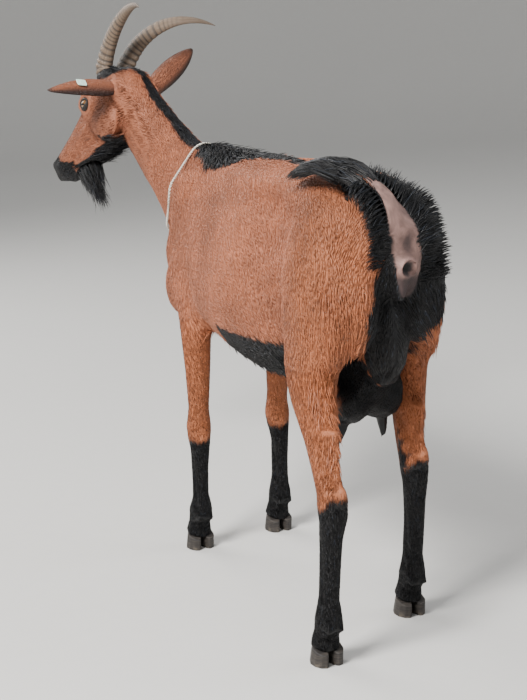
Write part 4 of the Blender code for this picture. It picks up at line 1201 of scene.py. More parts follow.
roots = roots_on_hide(short_coat_amount)
laid = laid_tufts(*roots)
root_points, root_outs, root_parts, _ = roots
root_x, root_y, root_z = to_body(root_points).T
region_of = np.where(root_x > 0, "side_left", "side_right").astype("U12")
for start, area in ((-0.03, "loin_"), (0.14, "rump_")):
    region_of[(root_y > start) & (root_x > 0)] = area + "left"
    region_of[(root_y > start) & (root_x <= 0)] = area + "right"
region_of[(root_z < 0.46) & (root_y < -0.16)] = "fore_legs"
region_of[(root_z < 0.46) & (root_y > 0.14)] = "hind_legs"
region_of[(root_y < -0.345) & (root_z > 0.56)] = "neck"
region_of[(of_head(root_points) > 0.5) | (root_parts > BODY)] = "head"
COAT_FLATNESS = 0.13
for region in ("side_left", "side_right", "loin_left", "loin_right", "rump_left", "rump_right",
               "fore_legs", "hind_legs", "neck", "head"):
    chosen = region_of == region
    paths, outs, widths, tones = (part[chosen] for part in laid)
    if region in ("head", "fore_legs", "hind_legs"):
        # Hair too short to bend: straight tufts from root to tip, a little wider and off the skin.
        tip_outs = np.repeat(outs[:, 2:], 2, axis=1)
        paths, outs, widths, tones = (part[:, ::2] for part in (paths, outs, widths, tones))
        paths = paths + root_outs[chosen][:, None] * np.array((0.0005, 0.0))[:, None] \
            + tip_outs * np.array((0.0, 0.0004))[:, None]
        widths = widths * (1.5, 1.0)
    coat = strands("coat_" + region, paths, outs, widths, tones,
                   patch_places(root_points[chosen], region), COAT_FLATNESS, False)
    coat.data.materials.append(leg_material if region.endswith("legs") else coat_material)
    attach(coat, "root")

# ------------------------------------------------------------------ the longer hair
# Coarser hair grows in locks on crest, withers, back, poll, throat, belly and the backs of the
# thighs, and inside the ears. Each lock is a tapering lick of many hairs stuck together.


def long_paths(roots, outs, ways, lengths, points_each, droop, stand, stray, clear=0.001):
    """Paths of locks that leave along their way, droop, and stay just off the hide."""
    count = len(roots)
    spot = roots - outs * 0.0012
    run = unit(unit(ways) + outs * stand + chance.normal(0, stray, (count, 3)))
    sway = chance.normal(0, stray * 0.8, (count, 3))
    paths, faces_out = [spot], [outs]
    stride = (lengths / (points_each - 1))[:, None]
    for step in range(points_each - 1):
        spot = spot + run * stride
        near, near_out = on_hide(spot)
        off = ((spot - near) * near_out).sum(axis=1)
        need = clear * (1 if step else 0.6) - off
        spot = spot + near_out * np.maximum(need, 0)[:, None] * (off > -0.02)[:, None]
        pull = np.array((0.0, 0.0, -1.0)) * droop * (step + 1) / points_each
        run = unit(run + pull + sway * 0.5)
        into = np.minimum((run * near_out).sum(axis=1), 0) * (off < 0.004)
        run = unit(run - near_out * into[:, None] * 0.8)
        paths.append(spot)
        faces_out.append(near_out)
    return np.stack(paths, axis=1), np.stack(faces_out, axis=1)


def lock_tones(colours, points_each, root_painted_shade=0.85, tip_painted_light=1.15, spread=0.12):
    """Each lock's colours from root to tip: painted shade at the root and painted light at the tip,
    with a painted bluish sheen on some black locks that grows towards the tip.
    """
    lot = np.exp(chance.normal(0, spread, len(colours)))[:, None, None]
    painted_root_to_tip = np.linspace(root_painted_shade, tip_painted_light, points_each)[None, :, None]
    # Painted sheen: a bluish grey added to some black locks, more towards the tip.
    painted_lock_sheen = (chance.random(len(colours)) < PAINTED_SHEEN_LOCKS)[:, None, None] * PAINTED_BLUE_SHEEN
    dark = is_black(colours)[:, None, None]
    outward = np.linspace(0.3, 1, points_each)[None, :, None]
    return colours[:, None] * lot * painted_root_to_tip + painted_lock_sheen * dark * outward


def lock_widths(lengths, points_each, wide):
    """Each lock's widths, fullest a third of the way along."""
    shape = np.interp(np.linspace(0, 1, points_each), [0, 0.3, 0.7, 1], [0.6, 1.0, 0.7, 0.06])
    return shape[None] * (wide * chance.uniform(0.7, 1.3, len(lengths)))[:, None]


def haunch_fringe(body):
    """Where stiff black hair stands out from the right haunch beside the tail."""
    x, y, z = body.T
    return between(x, -0.110, -0.030) * (y > 0.315) * between(z, 0.585, 0.75)


def long_hair_amount(points, normals, parts):
    """Locks to the square metre on crest, back, poll, belly, throat and thighs."""
    body, head = to_body(points), to_head(points)
    x, y, z = body.T
    side = np.abs(x)
    width = np.interp(y, [-0.32, -0.22, -0.13, 0.0, 0.30], [0.026, 0.058, 0.050, 0.018, 0.036])
    back = (width - 0.008 > side) * between(y, -0.32, 0.345) * (z > 0.68) * (normals[:, 2] > 0.3)
    crest = near_path(body, CREST)[0] < 0.019
    thigh = (y > 0.30) * between(z, 0.33, 0.60) * (normals[:, 1] > 0.5) * (side > 0.050)
    belly = between(z, 0.37, 0.48) * (normals[:, 2] < -0.55) * between(y, -0.30, 0.17)
    belly = belly * (side < 0.085)
    ahead, aside, out = head.T
    throat = (out < -0.085) * between(ahead, 0.080, 0.165) * (faces_up(normals) < -0.6)
    throat = throat * of_head(points)
    poll = between(ahead, -0.03, 0.030) * (np.abs(aside) < 0.034) * (out > -0.02)
    amount = back * 80000 + crest * (1 - back) * 90000 + thigh * 22000 + belly * 26000 \
        + haunch_fringe(body) * 50000
    amount = amount + throat * 70000 + poll * 90000
    return amount * (parts == BODY) * coated(points) * density


LONG_POINTS = 5                 # along each lock
long_roots, long_outs, long_parts, _ = roots_on_hide(long_hair_amount)
long_body, long_head = to_body(long_roots), to_head(long_roots)
on_the_head, on_the_haunch = of_head(long_roots) > 0.5, haunch_fringe(long_body)
long_colours = coat_colours(long_roots, long_outs)
long_ways = lie_of_coat(long_roots, long_outs, long_parts)
long_lengths = np.interp(long_body[:, 1], [-0.5, -0.32, -0.22, -0.12, 0.0, 0.2, 0.34, 0.40],
                         [0.022, 0.026, 0.036, 0.036, 0.026, 0.024, 0.028, 0.028])
long_lengths = np.where(on_the_head, np.where(long_head[:, 0] > 0.033, 0.034, 0.015), long_lengths)
long_lengths = np.where((long_body[:, 2] < 0.62) & ~on_the_head, 0.024, long_lengths)
long_lengths = long_lengths * chance.uniform(0.65, 1.25, len(long_roots))
long_lengths = np.where(on_the_haunch, 0.62 * long_lengths, long_lengths)
long_stand = np.where(on_the_haunch, 0.65, 0.13)[:, None]
long_ways = np.where(on_the_haunch[:, None],
                     unit(long_ways * 0.3 + np.array((-0.35, 0.0, 0.45))), long_ways)
paths, outs = long_paths(long_roots, long_outs, long_ways, long_lengths, LONG_POINTS, droop=0.20,
                         stand=long_stand, stray=0.09)
long_hair = strands("coat_long", paths, outs, lock_widths(long_lengths, LONG_POINTS, 0.0019),
                    lock_tones(long_colours, LONG_POINTS), patch_places(long_roots, "long"))
long_hair.data.materials.append(coat_material)
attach(long_hair, "root")

# Fine pale hair grows inside each ear, from its front rim across the hollow.
ear_hair = []
for side in SIDES:
    count, points_each = int(520 * density), 4
    along = chance.uniform(0.12, 0.85, count)
    across = np.where(chance.random(count) < 0.7, 1, -1) * chance.uniform(0.45, 0.97, count)
    place, back = ear_place(side, along, across)
    tip, _ = ear_place(side, np.minimum(along + 0.10, 0.98), across * 0.35)
    way = unit(tip - place)
    roots_here = place - back * 0.0011
    lengths = chance.uniform(0.010, 0.019, count) * (1 - 0.4 * along)
    steps = np.linspace(0, 1, points_each)[None, :, None]
    curve = roots_here[:, None] + way[:, None] * lengths[:, None, None] * steps \
        - back[:, None] * 0.35 * lengths[:, None, None] * steps * (1.35 - steps)
    pale = np.tile(np.array((0.30, 0.215, 0.17)), (count, 1)) * chance.uniform(0.5, 1.2, (count, 1))
    ear_hair.append((curve, np.repeat(-back[:, None], points_each, axis=1),
                     lock_widths(lengths, points_each, 0.0011), lock_tones(pale, points_each),
                     patch_places(roots_here, "head")))
inner = strands("coat_ear_hair", *[np.concatenate(pair) for pair in zip(*ear_hair)])
inner.data.materials.append(coat_material)
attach(inner, "root")

# ------------------------------------------------------------------ the tail's hair
# The raised tail is bare below. Short stiff black hair spreads from both its edges, and the long
# hair of its back and tip is laid forward over the rump, to her left.


def edge_locks(facing, turns, lean, lengths, droop, stand):
    """Locks from one edge of the dock, which lean by shares of across, along and below it."""
    count, points_each = int(900 * density), 6
    middles, runs, sideways = dock_frames()
    under = np.cross(runs, sideways)
    row = chance.uniform(2, 25, count).astype(int)
    turn = facing + chance.uniform(*turns, count)
    side_part, low_part = np.cos(turn), np.sin(turn)
    out = unit(sideways[row] * side_part[:, None] + under[row] * low_part[:, None])
    root = middles[row] + sideways[row] * (side_part * DOCK[row, 3] * 0.95)[:, None] \
        + under[row] * (low_part * DOCK[row, 4] * 0.95)[:, None]
    way = sideways[row] * lean[0] + runs[row] * lean[1] + under[row] * lean[2]
    long = chance.uniform(*lengths, count)
    paths, outs = long_paths(root, out, way, long, points_each, droop, stand, 0.13, 0.0012)
    # Painted shade at the roots and painted light at the tips.
    tones = lock_tones(np.tile(BLACK, (count, 1)), points_each, 0.7, 1.3, 0.25)
    return paths, outs, lock_widths(long, points_each, 0.0016), tones, patch_places(root, "long")


left_edge = edge_locks(0.0, (-1.1, 0.15), (1.0, 0.10, -0.45), (0.020, 0.042), 0.30, 0.10)
right_edge = edge_locks(math.pi, (-0.15, 1.1), (-1.0, 0.60, -0.15), (0.028, 0.054), 0.12, 0.28)
TAIL_SHEAF = smooth_path([
    # x, y, z, half width, half thickness
    (0.010, 0.345, 0.690, 0.028, 0.020), (0.020, 0.370, 0.716, 0.028, 0.019),
    (0.034, 0.358, 0.745, 0.031, 0.016), (0.050, 0.325, 0.763, 0.037, 0.014),
    (0.064, 0.285, 0.767, 0.038, 0.012), (0.076, 0.245, 0.759, 0.032, 0.010),
    (0.086, 0.214, 0.744, 0.021, 0.007)], 6)


def sheaf_locks(count, points_each):
    """The long hair: locks that run side by side along the sheaf and fan a little at its end."""
    middles = TAIL_SHEAF[:, :3] + np.array(GROUND)
    runs = unit(np.gradient(middles, axis=0))
    across = unit(np.cross(runs, (0.0, 0.3, 1.0)))
    above = np.cross(across, runs)
    last = len(middles) - 1
    start = chance.uniform(0.02, 0.52, count)
    finish = np.clip(start + chance.uniform(0.35, 0.62, count), 0, 1.0)
    angle, far = chance.uniform(0, 2 * math.pi, count), np.sqrt(chance.random(count))
    place = start[:, None] + (finish - start)[:, None] * np.linspace(0, 1, points_each)
    fade = np.linspace(0.75, 1.0, points_each)[None]
    wave = chance.uniform(0, 2 * math.pi, count)[:, None]
    wave = wave + place * chance.uniform(3, 8, count)[:, None]

    def at_place(values):
        """What the sheaf has at each place along it."""
        return np.interp(place * last, range(last + 1), values)

    spot, side, high = (np.stack([at_place(rows[:, k]) for k in range(3)], axis=2)
                        for rows in (middles, across, above))
    wide, thick = at_place(TAIL_SHEAF[:, 3]), at_place(TAIL_SHEAF[:, 4])
    left = (np.cos(angle) * far)[:, None] * wide * fade + 0.0022 * np.sin(wave)
    rise = (np.sin(angle) * far)[:, None] * thick * fade + 0.0015 * np.cos(wave * 1.3)
    paths = spot + side * left[:, :, None] + high * rise[:, :, None]
    flat = paths.reshape(-1, 3)
    near, near_out = on_hide(flat)
    off = ((flat - near) * near_out).sum(axis=1)
    flat = flat + near_out * np.maximum(0.0022 - off, 0)[:, None] * (place.ravel() > 0.15)[:, None]
    paths = flat.reshape(paths.shape)
    long = (finish - start) * 0.26
    outs = unit(high + side * np.cos(angle)[:, None, None])
    # Painted shade at the roots and painted light at the tips.
    tones = lock_tones(np.tile(BLACK, (count, 1)), points_each, 0.7, 1.3, 0.25)
    patches = patch_places(paths[:, 0], "long")
    return paths, outs, lock_widths(long, points_each, 0.0024), tones, patches


sheaf = sheaf_locks(int(1500 * density), 6)
tail_hair = strands("tail_hair", *[np.concatenate(trio)
                                   for trio in zip(left_edge, right_edge, sheaf)])
tail_hair.data.materials.append(coat_material)
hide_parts("tail")
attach(tail_hair, "root")

# ------------------------------------------------------------------ the beard
# A tuft of long black hair under the chin, swept back as it hangs.


def beard_locks():
    """Long curved locks that gather towards a point."""
    count, points_each = int(620 * density), 7
    chin = np.array(on_head(0.190, 0, -0.098))
    along, across = chance.uniform(-0.030, 0.022, count), chance.normal(0, 0.0075, count)
    head_x, head_y = HEAD_ARRAY[:3, 0], HEAD_ARRAY[:3, 1]
    root = chin + head_x * along[:, None] + head_y * np.clip(across, -0.016, 0.016)[:, None]
    near, near_out = on_hide(root + HEAD_ARRAY[:3, 2] * -0.010)
    long = chance.uniform(0.045, 0.108, count) * (1 - 0.5 * np.abs(along) / 0.03)
    aim = chin + np.array((-0.030, 0.046, -0.108))
    way = unit(aim - near) + np.array((-0.10, 0.16, -0.22))
    paths, outs = long_paths(near, near_out, way, long, points_each, 0.16, 0.20, 0.07, 0.0008)
    # Painted shade at the roots and painted light at the tips.
    tones = lock_tones(np.tile(BLACK * 1.15, (count, 1)), points_each, 0.7, 1.5, 0.3)
    return paths, outs, lock_widths(long, points_each, 0.0019), tones, patch_places(near, "head")


beard = strands("beard_hair", *beard_locks())
beard.data.materials.append(coat_material)
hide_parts("beard")
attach(beard, "root")

# ------------------------------------------------------------------ the eyes
# Each eye is a wet ball with a clear bulge in front, an amber iris and a level slit of a pupil.
CORNEA = math.radians(27)
CORNEA_BULGE, EYE_CLEAR = 0.0010, 0.0002        # above the ball, and from the ball to its solid
SLIT_HALF_LONG, SLIT_HALF_HIGH = 0.40, 0.135    # as shares of the ball's radius
eye_look = Look("eye", Roughness=0.05, Specular_IOR_Level=0.6, Coat_Weight=1.0,
                Coat_Roughness=0.02)
level, rise, _ = eye_look.parts_of(eye_look.carried("gaze", "Vector"))
reach = (level * level + rise * rise) ** 0.5
slit = (level / SLIT_HALF_LONG) ** 4.0 + (rise / SLIT_HALF_HIGH) ** 4.0
rays = eye_look.grain(2200.0)
amber = eye_look.mixed(eye_look.step(reach, 0.12, 0.60), (0.23, 0.110, 0.026),
                       (0.14, 0.060, 0.015))
amber = eye_look.shaded(amber, 0.55 + 0.8 * rays)
ball = eye_look.mixed(eye_look.step(reach, 0.60, 0.68), amber, (0.020, 0.013, 0.011))
ball = eye_look.mixed(eye_look.step(reach, 0.80, 0.95), ball, (0.16, 0.11, 0.09))
ball = eye_look.mixed(1.0 - eye_look.step(slit, 0.75, 1.25), ball, (0.004, 0.004, 0.006))
eye_material = eye_look.finish(ball)


def eyeball(side):
    """A ball in rings round the way it looks, its pupil kept level with the ground."""
    look = EYE_LOOK[side]
    fore = unit(np.cross(look, (0.0, 0.0, 1.0))) * SIDES[side]
    above = np.cross(fore, look) * -SIDES[side]
    rings, sides = 40, 56
    centre, radius = EYE_MIDDLE[side], EYE_RADIUS - EYE_CLEAR
    places, gazes = [], []
    for ring in range(1, rings):
        polar = math.pi * ring / rings
        bulge = CORNEA_BULGE * max(0.0, 1 - (polar / CORNEA) ** 2) ** 1.2
        for turn in range(sides):
            angle = 2 * math.pi * turn / sides
            level_at = math.sin(polar) * math.cos(angle)
            rise_at = math.sin(polar) * math.sin(angle)
            way = look * math.cos(polar) + fore * level_at + above * rise_at
            places.append(centre + way * (radius + bulge))
            gazes.append((level_at, rise_at, math.cos(polar)))
    places += [centre + look * (radius + CORNEA_BULGE), centre - look * radius]
    gazes += [(0, 0, 1), (0, 0, -1)]
    faces = tube_faces(rings - 1, sides)
    front, rear = len(places) - 2, len(places) - 1
    last = (rings - 2) * sides
    for turn in range(sides):
        after = (turn + 1) % sides
        faces += [(front, after, turn), (rear, last + turn, last + after)]
    made = mesh_of("eyeball_" + side, places, faces)
    turn_outward(made.data)
    carry(made.data, "gaze", "FLOAT_VECTOR", "vector", gazes)
    return made


for side in SIDES:
    ball_of_eye = eyeball(side)
    ball_of_eye.data.materials.append(eye_material)
    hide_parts("eye_" + side)
    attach(ball_of_eye, "root")

# ------------------------------------------------------------------ the horns
# Hollow horn over a bony core: oval, ringed by each year's growth, streaked lengthwise, worn
# smooth and darker towards the tip, with scurf where it leaves the skin.
HORN_LENGTH, HORN_BURIED = 0.236, 0.030
HORN_HALF_DEEP, HORN_HALF_WIDE = 0.0212, 0.0152     # at the brow
HORN_RING = 0.0108                                  # from one ring to the next
horn_look = Look("horn", Roughness=0.45, Specular_IOR_Level=0.5)
horn_up, horn_round, horn_edge = horn_look.parts_of(horn_look.carried("growth", "Vector"))
lengthwise = horn_look.node("CombineXYZ", "Vector", X=horn_round * 34.0, Y=horn_up * 3.0,
                            Z=horn_edge * 34.0)
streaks = horn_look.grain(1.0, 5.0, lengthwise)
scurf = horn_look.grain(260.0, 5.0)
horn_fine = horn_look.grain(1500.0, 3.0)
horn_tone = horn_look.mixed(horn_look.step(horn_up, 0.02, 0.50), (0.140, 0.096, 0.064),
                            (0.175, 0.120, 0.078))
horn_tone = horn_look.mixed(horn_look.step(horn_up, 0.55, 1.00), horn_tone,
                            (0.100, 0.070, 0.048))
horn_tone = horn_look.mixed(horn_look.step(streaks, 0.42, 0.72) * 0.55, horn_tone,
                            (0.060, 0.040, 0.028))
low_down = 1.0 - horn_look.step(horn_up, 0.10, 0.45)
horn_tone = horn_look.mixed(horn_look.step(scurf, 0.55, 0.75) * low_down, horn_tone,
                            (0.250, 0.205, 0.155))
# Painted shade in the furrows between the growth rings, on the ringed part of the horn.
painted_furrow_shade = horn_look.carried("furrow")
ringed = 1.0 - horn_look.step(horn_up, 0.50, 0.85)
horn_tone = horn_look.mixed(horn_look.step(painted_furrow_shade, 0.12, 0.75) * 0.85 * ringed, horn_tone,
                            (0.036, 0.026, 0.020))
horn_material = horn_look.finish(horn_tone, roughness=0.34 + 0.34 * scurf,
                                 height=streaks + 0.4 * scurf + 0.3 * horn_fine, depth=0.0009)


def horn(side):
    """A horn that rises from the brow, sweeps back and spreads."""
    sign, steps, sides = SIDES[side], 132, 36
    step = (HORN_LENGTH + HORN_BURIED) / steps
    lean, sunk_lean = math.radians(46), math.radians(14)
    spots = [np.array((0.037 + HORN_BURIED * math.sin(sunk_lean), sign * 0.0235,
                       0.0205 - HORN_BURIED * math.cos(sunk_lean)))]
    for index in range(steps):
        travelled = (index + 0.5) * step - HORN_BURIED
        angle = lean + 7.1 * travelled + 1.2 * travelled ** 2 if travelled > 0 else sunk_lean
        spread = 0.08 + 2.2 * max(0.0, travelled)
        spots.append(spots[-1] + step * unit(np.array((-math.sin(angle), sign * spread,
                                                       math.cos(angle)))))
    spots = np.array(spots)
    runs = unit(np.gradient(spots, axis=0))
    points, growth = [], []
    for index, (spot, run) in enumerate(zip(spots, runs)):
        share = index / steps
        grown = share * (HORN_LENGTH + HORN_BURIED) - HORN_BURIED
        ring = (grown / HORN_RING + 0.30 * math.sin(grown * 90)) % 1.0
        ridge = (0.170 * math.sin(math.pi * ring ** 0.7) ** 1.3 - 0.07) * max(0.0, 1 - share / 0.80)
        taper = max((1 - share) ** 0.64 * (1 - 0.30 * max(0.0, share - 0.6) / 0.4), 0.035)
        across = unit(np.array((0.25, sign, 0)) - run * (run @ np.array((0.25, sign, 0))))
        front = np.cross(across, run)
        for turn in range(sides):
            angle = 2 * math.pi * turn / sides
            keel = 1 + 0.10 * max(0.0, math.cos(angle)) ** 6
            uneven = 1 + 0.012 * math.sin(3 * angle + grown * 140) * max(0.0, 1 - share)
            front_more = ridge * (0.6 + 0.4 * math.cos(angle))
            deep = HORN_HALF_DEEP * taper * keel * uneven * (1 + front_more)
            wide = HORN_HALF_WIDE * taper * uneven * (1 + front_more)
            points.append(spot + front * deep * math.cos(angle) + across * wide * math.sin(angle))
            growth.append((share, math.cos(angle), math.sin(angle), ring))
    made = mesh_of("horn_sheath_" + side, from_head(np.array(points)),
                   tube_faces(steps + 1, sides, True))
    turn_outward(made.data)
    growth = np.array(growth, np.float32)
    carry(made.data, "growth", "FLOAT_VECTOR", "vector", growth[:, :3])
    carry(made.data, "furrow", "FLOAT", "value", 1 - np.sin(math.pi * growth[:, 3] ** 0.7))
    return made


for side in SIDES:
    sheath = horn(side)
    sheath.data.materials.append(horn_material)
    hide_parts("horn_" + side)
    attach(sheath, "root")

# ------------------------------------------------------------------ the claws
# Two claws to a foot, of dark dull horn ringed by growth, dusty and chipped at the sole's edge.
CLAWS = [f"claw_{end}_{side}_{place}" for end in ("fore", "hind") for side in SIDES
         for place in ("inner", "outer")]
claw_look = Look("claw", Roughness=0.55, Specular_IOR_Level=0.4)
claw_high = claw_look.parts_of(claw_look.place)[2]
claw_fine = claw_look.grain(900.0, 4.0)
claw_broad = claw_look.grain(120.0, 3.0)
claw_rings = claw_look.grain(1.0, 2.0, claw_look.vector_times(claw_look.place,
                                                              (40.0, 40.0, 620.0)))
claw_tone = claw_look.mixed(claw_look.step(claw_rings, 0.40, 0.66), (0.022, 0.019, 0.018),
                            (0.050, 0.042, 0.036))
claw_tone = claw_look.mixed(claw_look.step(claw_broad, 0.45, 0.75)
                            * (1.0 - claw_look.step(claw_high, 0.000, 0.014)), claw_tone,
                            (0.120, 0.100, 0.078))
claw_material = claw_look.finish(claw_tone, roughness=0.45 + 0.35 * claw_fine,
                                 height=claw_rings + 0.4 * claw_fine, depth=0.0007)


def claw(name):
    """The claw's own form with its walls rounded, its sole still flat on the floor."""
    form = bmesh.new()
    form.from_mesh(nodes[name].data)
    bmesh.ops.remove_doubles(form, verts=form.verts, dist=1e-5)
    made = built("horn_" + name, form)
    remesh = made.modifiers.new("fine", "REMESH")
    remesh.mode = "VOXEL"
    remesh.voxel_size = 0.0012
    settled(made)
    points = points_of(made)
    eased = evened(made, points, 12, np.ones(len(points)), np.full(len(points), 0.15))
    eased[:, 2] = np.where(points[:, 2] < 0.0016, 0.0002 * (points[:, 2] > 0.0005), eased[:, 2])
    put_points(made, eased)
    made.data.shade_smooth()
    return made


for name in CLAWS:
    one_claw = claw(name)
    one_claw.data.materials.append(claw_material)
    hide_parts(name)
    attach(one_claw, "root")

# ------------------------------------------------------------------ the collar
# A thin cord of two pale twisted strands, tied loosely low round the neck and drawn back over
# the shoulders.
CORD_RADIUS = 0.0022
CORD_TURNS = 58.0               # of the two strands about each other, once round the neck
COLLAR_MIDDLE = on_body(0.002, -0.400, 0.638)


def collar_course():
    """Points of the cord's course, close on the coat and drawn back at the sides."""
    form = bmesh.new()
    for name in ("neck", "trunk"):
        form.from_mesh(nodes[name].data)
    flesh = BVHTree.FromBMesh(form)
    form.free()
    facing = Vector((0.0, -0.970, 0.24)).normalized()
    across = (Vector((1, 0, 0)) - facing * facing.x).normalized()
    upward = facing.cross(across)
    course, count = [], 64
    for index in range(count):
        angle = 2 * math.pi * index / count
        outward = across * math.cos(angle) + upward * math.sin(angle)
        drawn = 1.15 * abs(math.cos(angle)) * min(1.0, max(0.0, 1 + 1.8 * math.sin(angle)))
        outward = (outward + Vector((0, drawn, 0))).normalized()
        spot = flesh.ray_cast(COLLAR_MIDDLE + outward * 0.30, -outward)[0]
        course.append(spot + flesh.find_nearest(spot)[1] * (CORD_RADIUS + 0.0010))
    course, easing_rounds = np.array(course), 26
    for _ in range(easing_rounds):
        course = 0.5 * course + 0.25 * (np.roll(course, 1, axis=0) + np.roll(course, -1, axis=0))
        near, near_out = on_hide(course)
        sunk = CORD_RADIUS + 0.0026 - ((course - near) * near_out).sum(axis=1)
        course = course + near_out * np.maximum(sunk, 0)[:, None]
    return course


def cord_tree():
    """Nodes that lay twisted strands along a curve."""
    tree = bpy.data.node_groups.new("twisted cord", "GeometryNodeTree")
    face = tree.interface
    face.new_socket("Geometry", in_out="INPUT", socket_type="NodeSocketGeometry")
    radius = face.new_socket("Strand radius", in_out="INPUT", socket_type="NodeSocketFloat")
    turns = face.new_socket("Turns", in_out="INPUT", socket_type="NodeSocketFloat")
    finish = face.new_socket("Material", in_out="INPUT", socket_type="NodeSocketMaterial")
    face.new_socket("Geometry", in_out="OUTPUT", socket_type="NodeSocketGeometry")

    def put(kind, **settings):
        made = tree.nodes.new(kind)
        for name, value in settings.items():
            setattr(made, name, value)
        return made

    def join(source, output, target, socket):
        tree.links.new(source.outputs[output], target.inputs[socket])

    given, result = put("NodeGroupInput"), put("NodeGroupOutput")
    fine = put("GeometryNodeResampleCurve", mode="COUNT")
    fine.inputs["Count"].default_value = 900
    along = put("GeometryNodeSplineParameter")
    tilt = put("GeometryNodeSetCurveTilt")
    angle = put("ShaderNodeMath", operation="MULTIPLY")
    whole = put("ShaderNodeMath", operation="MULTIPLY")
    whole.inputs[1].default_value = 2 * math.pi
    join(given, "Geometry", fine, "Curve")
    join(given, "Turns", whole, 0)
    join(whole, 0, angle, 0)
    join(along, "Factor", angle, 1)
    join(fine, "Curve", tilt, "Curve")
    join(angle, 0, tilt, "Tilt")
    both = put("GeometryNodeJoinGeometry")
    for side in (-1.0, 1.0):
        strand = put("GeometryNodeCurvePrimitiveCircle")
        strand.inputs["Resolution"].default_value = 9
        shift = put("GeometryNodeTransform")
        offset = put("ShaderNodeVectorMath", operation="SCALE")
        offset.inputs[0].default_value = (side * 0.92, 0.0, 0.0)
        tube = put("GeometryNodeCurveToMesh")
        join(given, "Strand radius", strand, "Radius")
        join(given, "Strand radius", offset, "Scale")
        join(strand, "Curve", shift, "Geometry")
        join(offset, 0, shift, "Translation")
        join(tilt, "Curve", tube, "Curve")
        join(shift, "Geometry", tube, "Profile Curve")
        join(tube, "Mesh", both, "Geometry")
    real = put("GeometryNodeRealizeInstances")
    paint = put("GeometryNodeSetMaterial")
    join(both, "Geometry", real, "Geometry")
    join(real, "Geometry", paint, "Geometry")
    join(given, "Material", paint, "Material")
    join(paint, "Geometry", result, "Geometry")
    return tree, radius.identifier, turns.identifier, finish.identifier


def cord_along(name, course, closed, turns, material):
    """A twisted cord along a course, as a plain mesh."""
    curve = bpy.data.curves.new(name + "_course", "CURVE")
    curve.dimensions = "3D"
    spline = curve.splines.new("POLY")
    spline.points.add(len(course) - 1)
    spline.points.foreach_set("co", np.hstack([course, np.ones((len(course), 1))]).ravel())
    spline.use_cyclic_u = closed
    run = placed(name + "_course", curve)
    tree, radius_id, turns_id, finish_id = cord_tree()
    laid = run.modifiers.new("cord", "NODES")
    laid.node_group = tree
    laid[radius_id], laid[turns_id], laid[finish_id] = CORD_RADIUS * 0.52, turns, material
    mesh = bpy.data.meshes.new_from_object(
        run.evaluated_get(bpy.context.evaluated_depsgraph_get()))
    bpy.data.objects.remove(run)
    turn_outward(mesh)
    mesh.shade_smooth()
    return placed(name, mesh)


cord_look = Look("cord", Roughness=0.8, Specular_IOR_Level=0.25)
cord_fine = cord_look.grain(2600.0, 3.0)
cord_grime = cord_look.grain(55.0, 4.0)
cord_tone = cord_look.mixed(cord_look.step(cord_grime, 0.45, 0.75) * 0.6, (0.78, 0.74, 0.66),
                            (0.42, 0.36, 0.28))
cord_material = cord_look.finish(cord_look.shaded(cord_tone, 0.75 + 0.4 * cord_fine),
                                 height=cord_fine, depth=0.0005)
collar_cord = cord_along("collar_cord", collar_course(), True, CORD_TURNS, cord_material)
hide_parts("collar")
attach(collar_cord, "root")

# ------------------------------------------------------------------ the ear tag
# A plain moulded plastic tag: a rounded plate behind the ear, a pin through the gristle and a
# round button inside, with no lettering.
TAG_WIDE, TAG_TALL, TAG_THICK, TAG_CLEAR = 0.020, 0.016, 0.0016, 0.0033


def tag_seat():
    """Axes on the ear where the pin goes through: z out of its back."""
    spot, outward = ear_place("left", np.array([0.60]), np.array([-0.30]))
    normal = Vector(outward[0])
    across = (Vector((1, 0, 0)) - normal * normal.x).normalized()
    axes = Matrix((across, normal.cross(across), normal)).transposed().to_4x4()
    return Matrix.Translation(spot[0]) @ axes


def stacked_rings(form, rings):
    """A closed solid from rings of points, one over the other."""
    rings = [[form.verts.new(point) for point in ring] for ring in rings]
    for low_ring, high_ring in zip(rings, rings[1:]):
        for k in range(len(low_ring)):
            after = (k + 1) % len(low_ring)
            form.faces.new((low_ring[k], low_ring[after], high_ring[after], high_ring[k]))
    form.faces.new(rings[0][::-1])
    form.faces.new(rings[-1])


def turned_disc(form, profile, sides, seat):
    """A closed solid of revolution about the pin from (radius, height) pairs."""
    angles = [2 * math.pi * k / sides for k in range(sides)]
    stacked_rings(form, [[seat @ Vector((radius * math.cos(a), radius * math.sin(a), height))
                          for a in angles] for radius, height in profile])


def tag_form():
    """Plate with rounded corners and a raised boss, pin and button."""
    seat, form = tag_seat(), bmesh.new()
    outline, count, corner = [], 48, 0.32       # a smaller corner power is squarer
    for index in range(count):
        angle = 2 * math.pi * index / count
        c, s = math.cos(angle), math.sin(angle)
        outline.append((TAG_WIDE / 2 * math.copysign(abs(c) ** corner, c),
                        TAG_TALL / 2 * math.copysign(abs(s) ** corner, s)))
    layers = [(0.94, 0.0), (1.0, 0.0003), (1.0, TAG_THICK - 0.0003), (0.95, TAG_THICK)]
    bend = 0.0004                               # the plate's ends stand back from the ear
    stacked_rings(form, [[seat @ Vector((x * inset, y * inset,
                                         TAG_CLEAR + height + bend * (x / TAG_WIDE * 2) ** 2))
                          for x, y in outline] for inset, height in layers])
    top = TAG_CLEAR + TAG_THICK
    turned_disc(form, [(0.0038, top - 0.0004), (0.0038, top + 0.0005), (0.0034, top + 0.0008),
                       (0.0012, top + 0.0008), (0.0010, top + 0.0004)], 28, seat)
    turned_disc(form, [(0.0018, -TAG_CLEAR + 0.0002), (0.0018, TAG_CLEAR + 0.0004)], 20, seat)
    turned_disc(form, [(0.0012, -TAG_CLEAR - 0.0018), (0.0042, -TAG_CLEAR - 0.0016),
                       (0.0050, -TAG_CLEAR - 0.0010), (0.0050, -TAG_CLEAR),
                       (0.0030, -TAG_CLEAR + 0.0004)], 32, seat)
    bmesh.ops.recalc_face_normals(form, faces=form.faces)
    return built("tag", form)


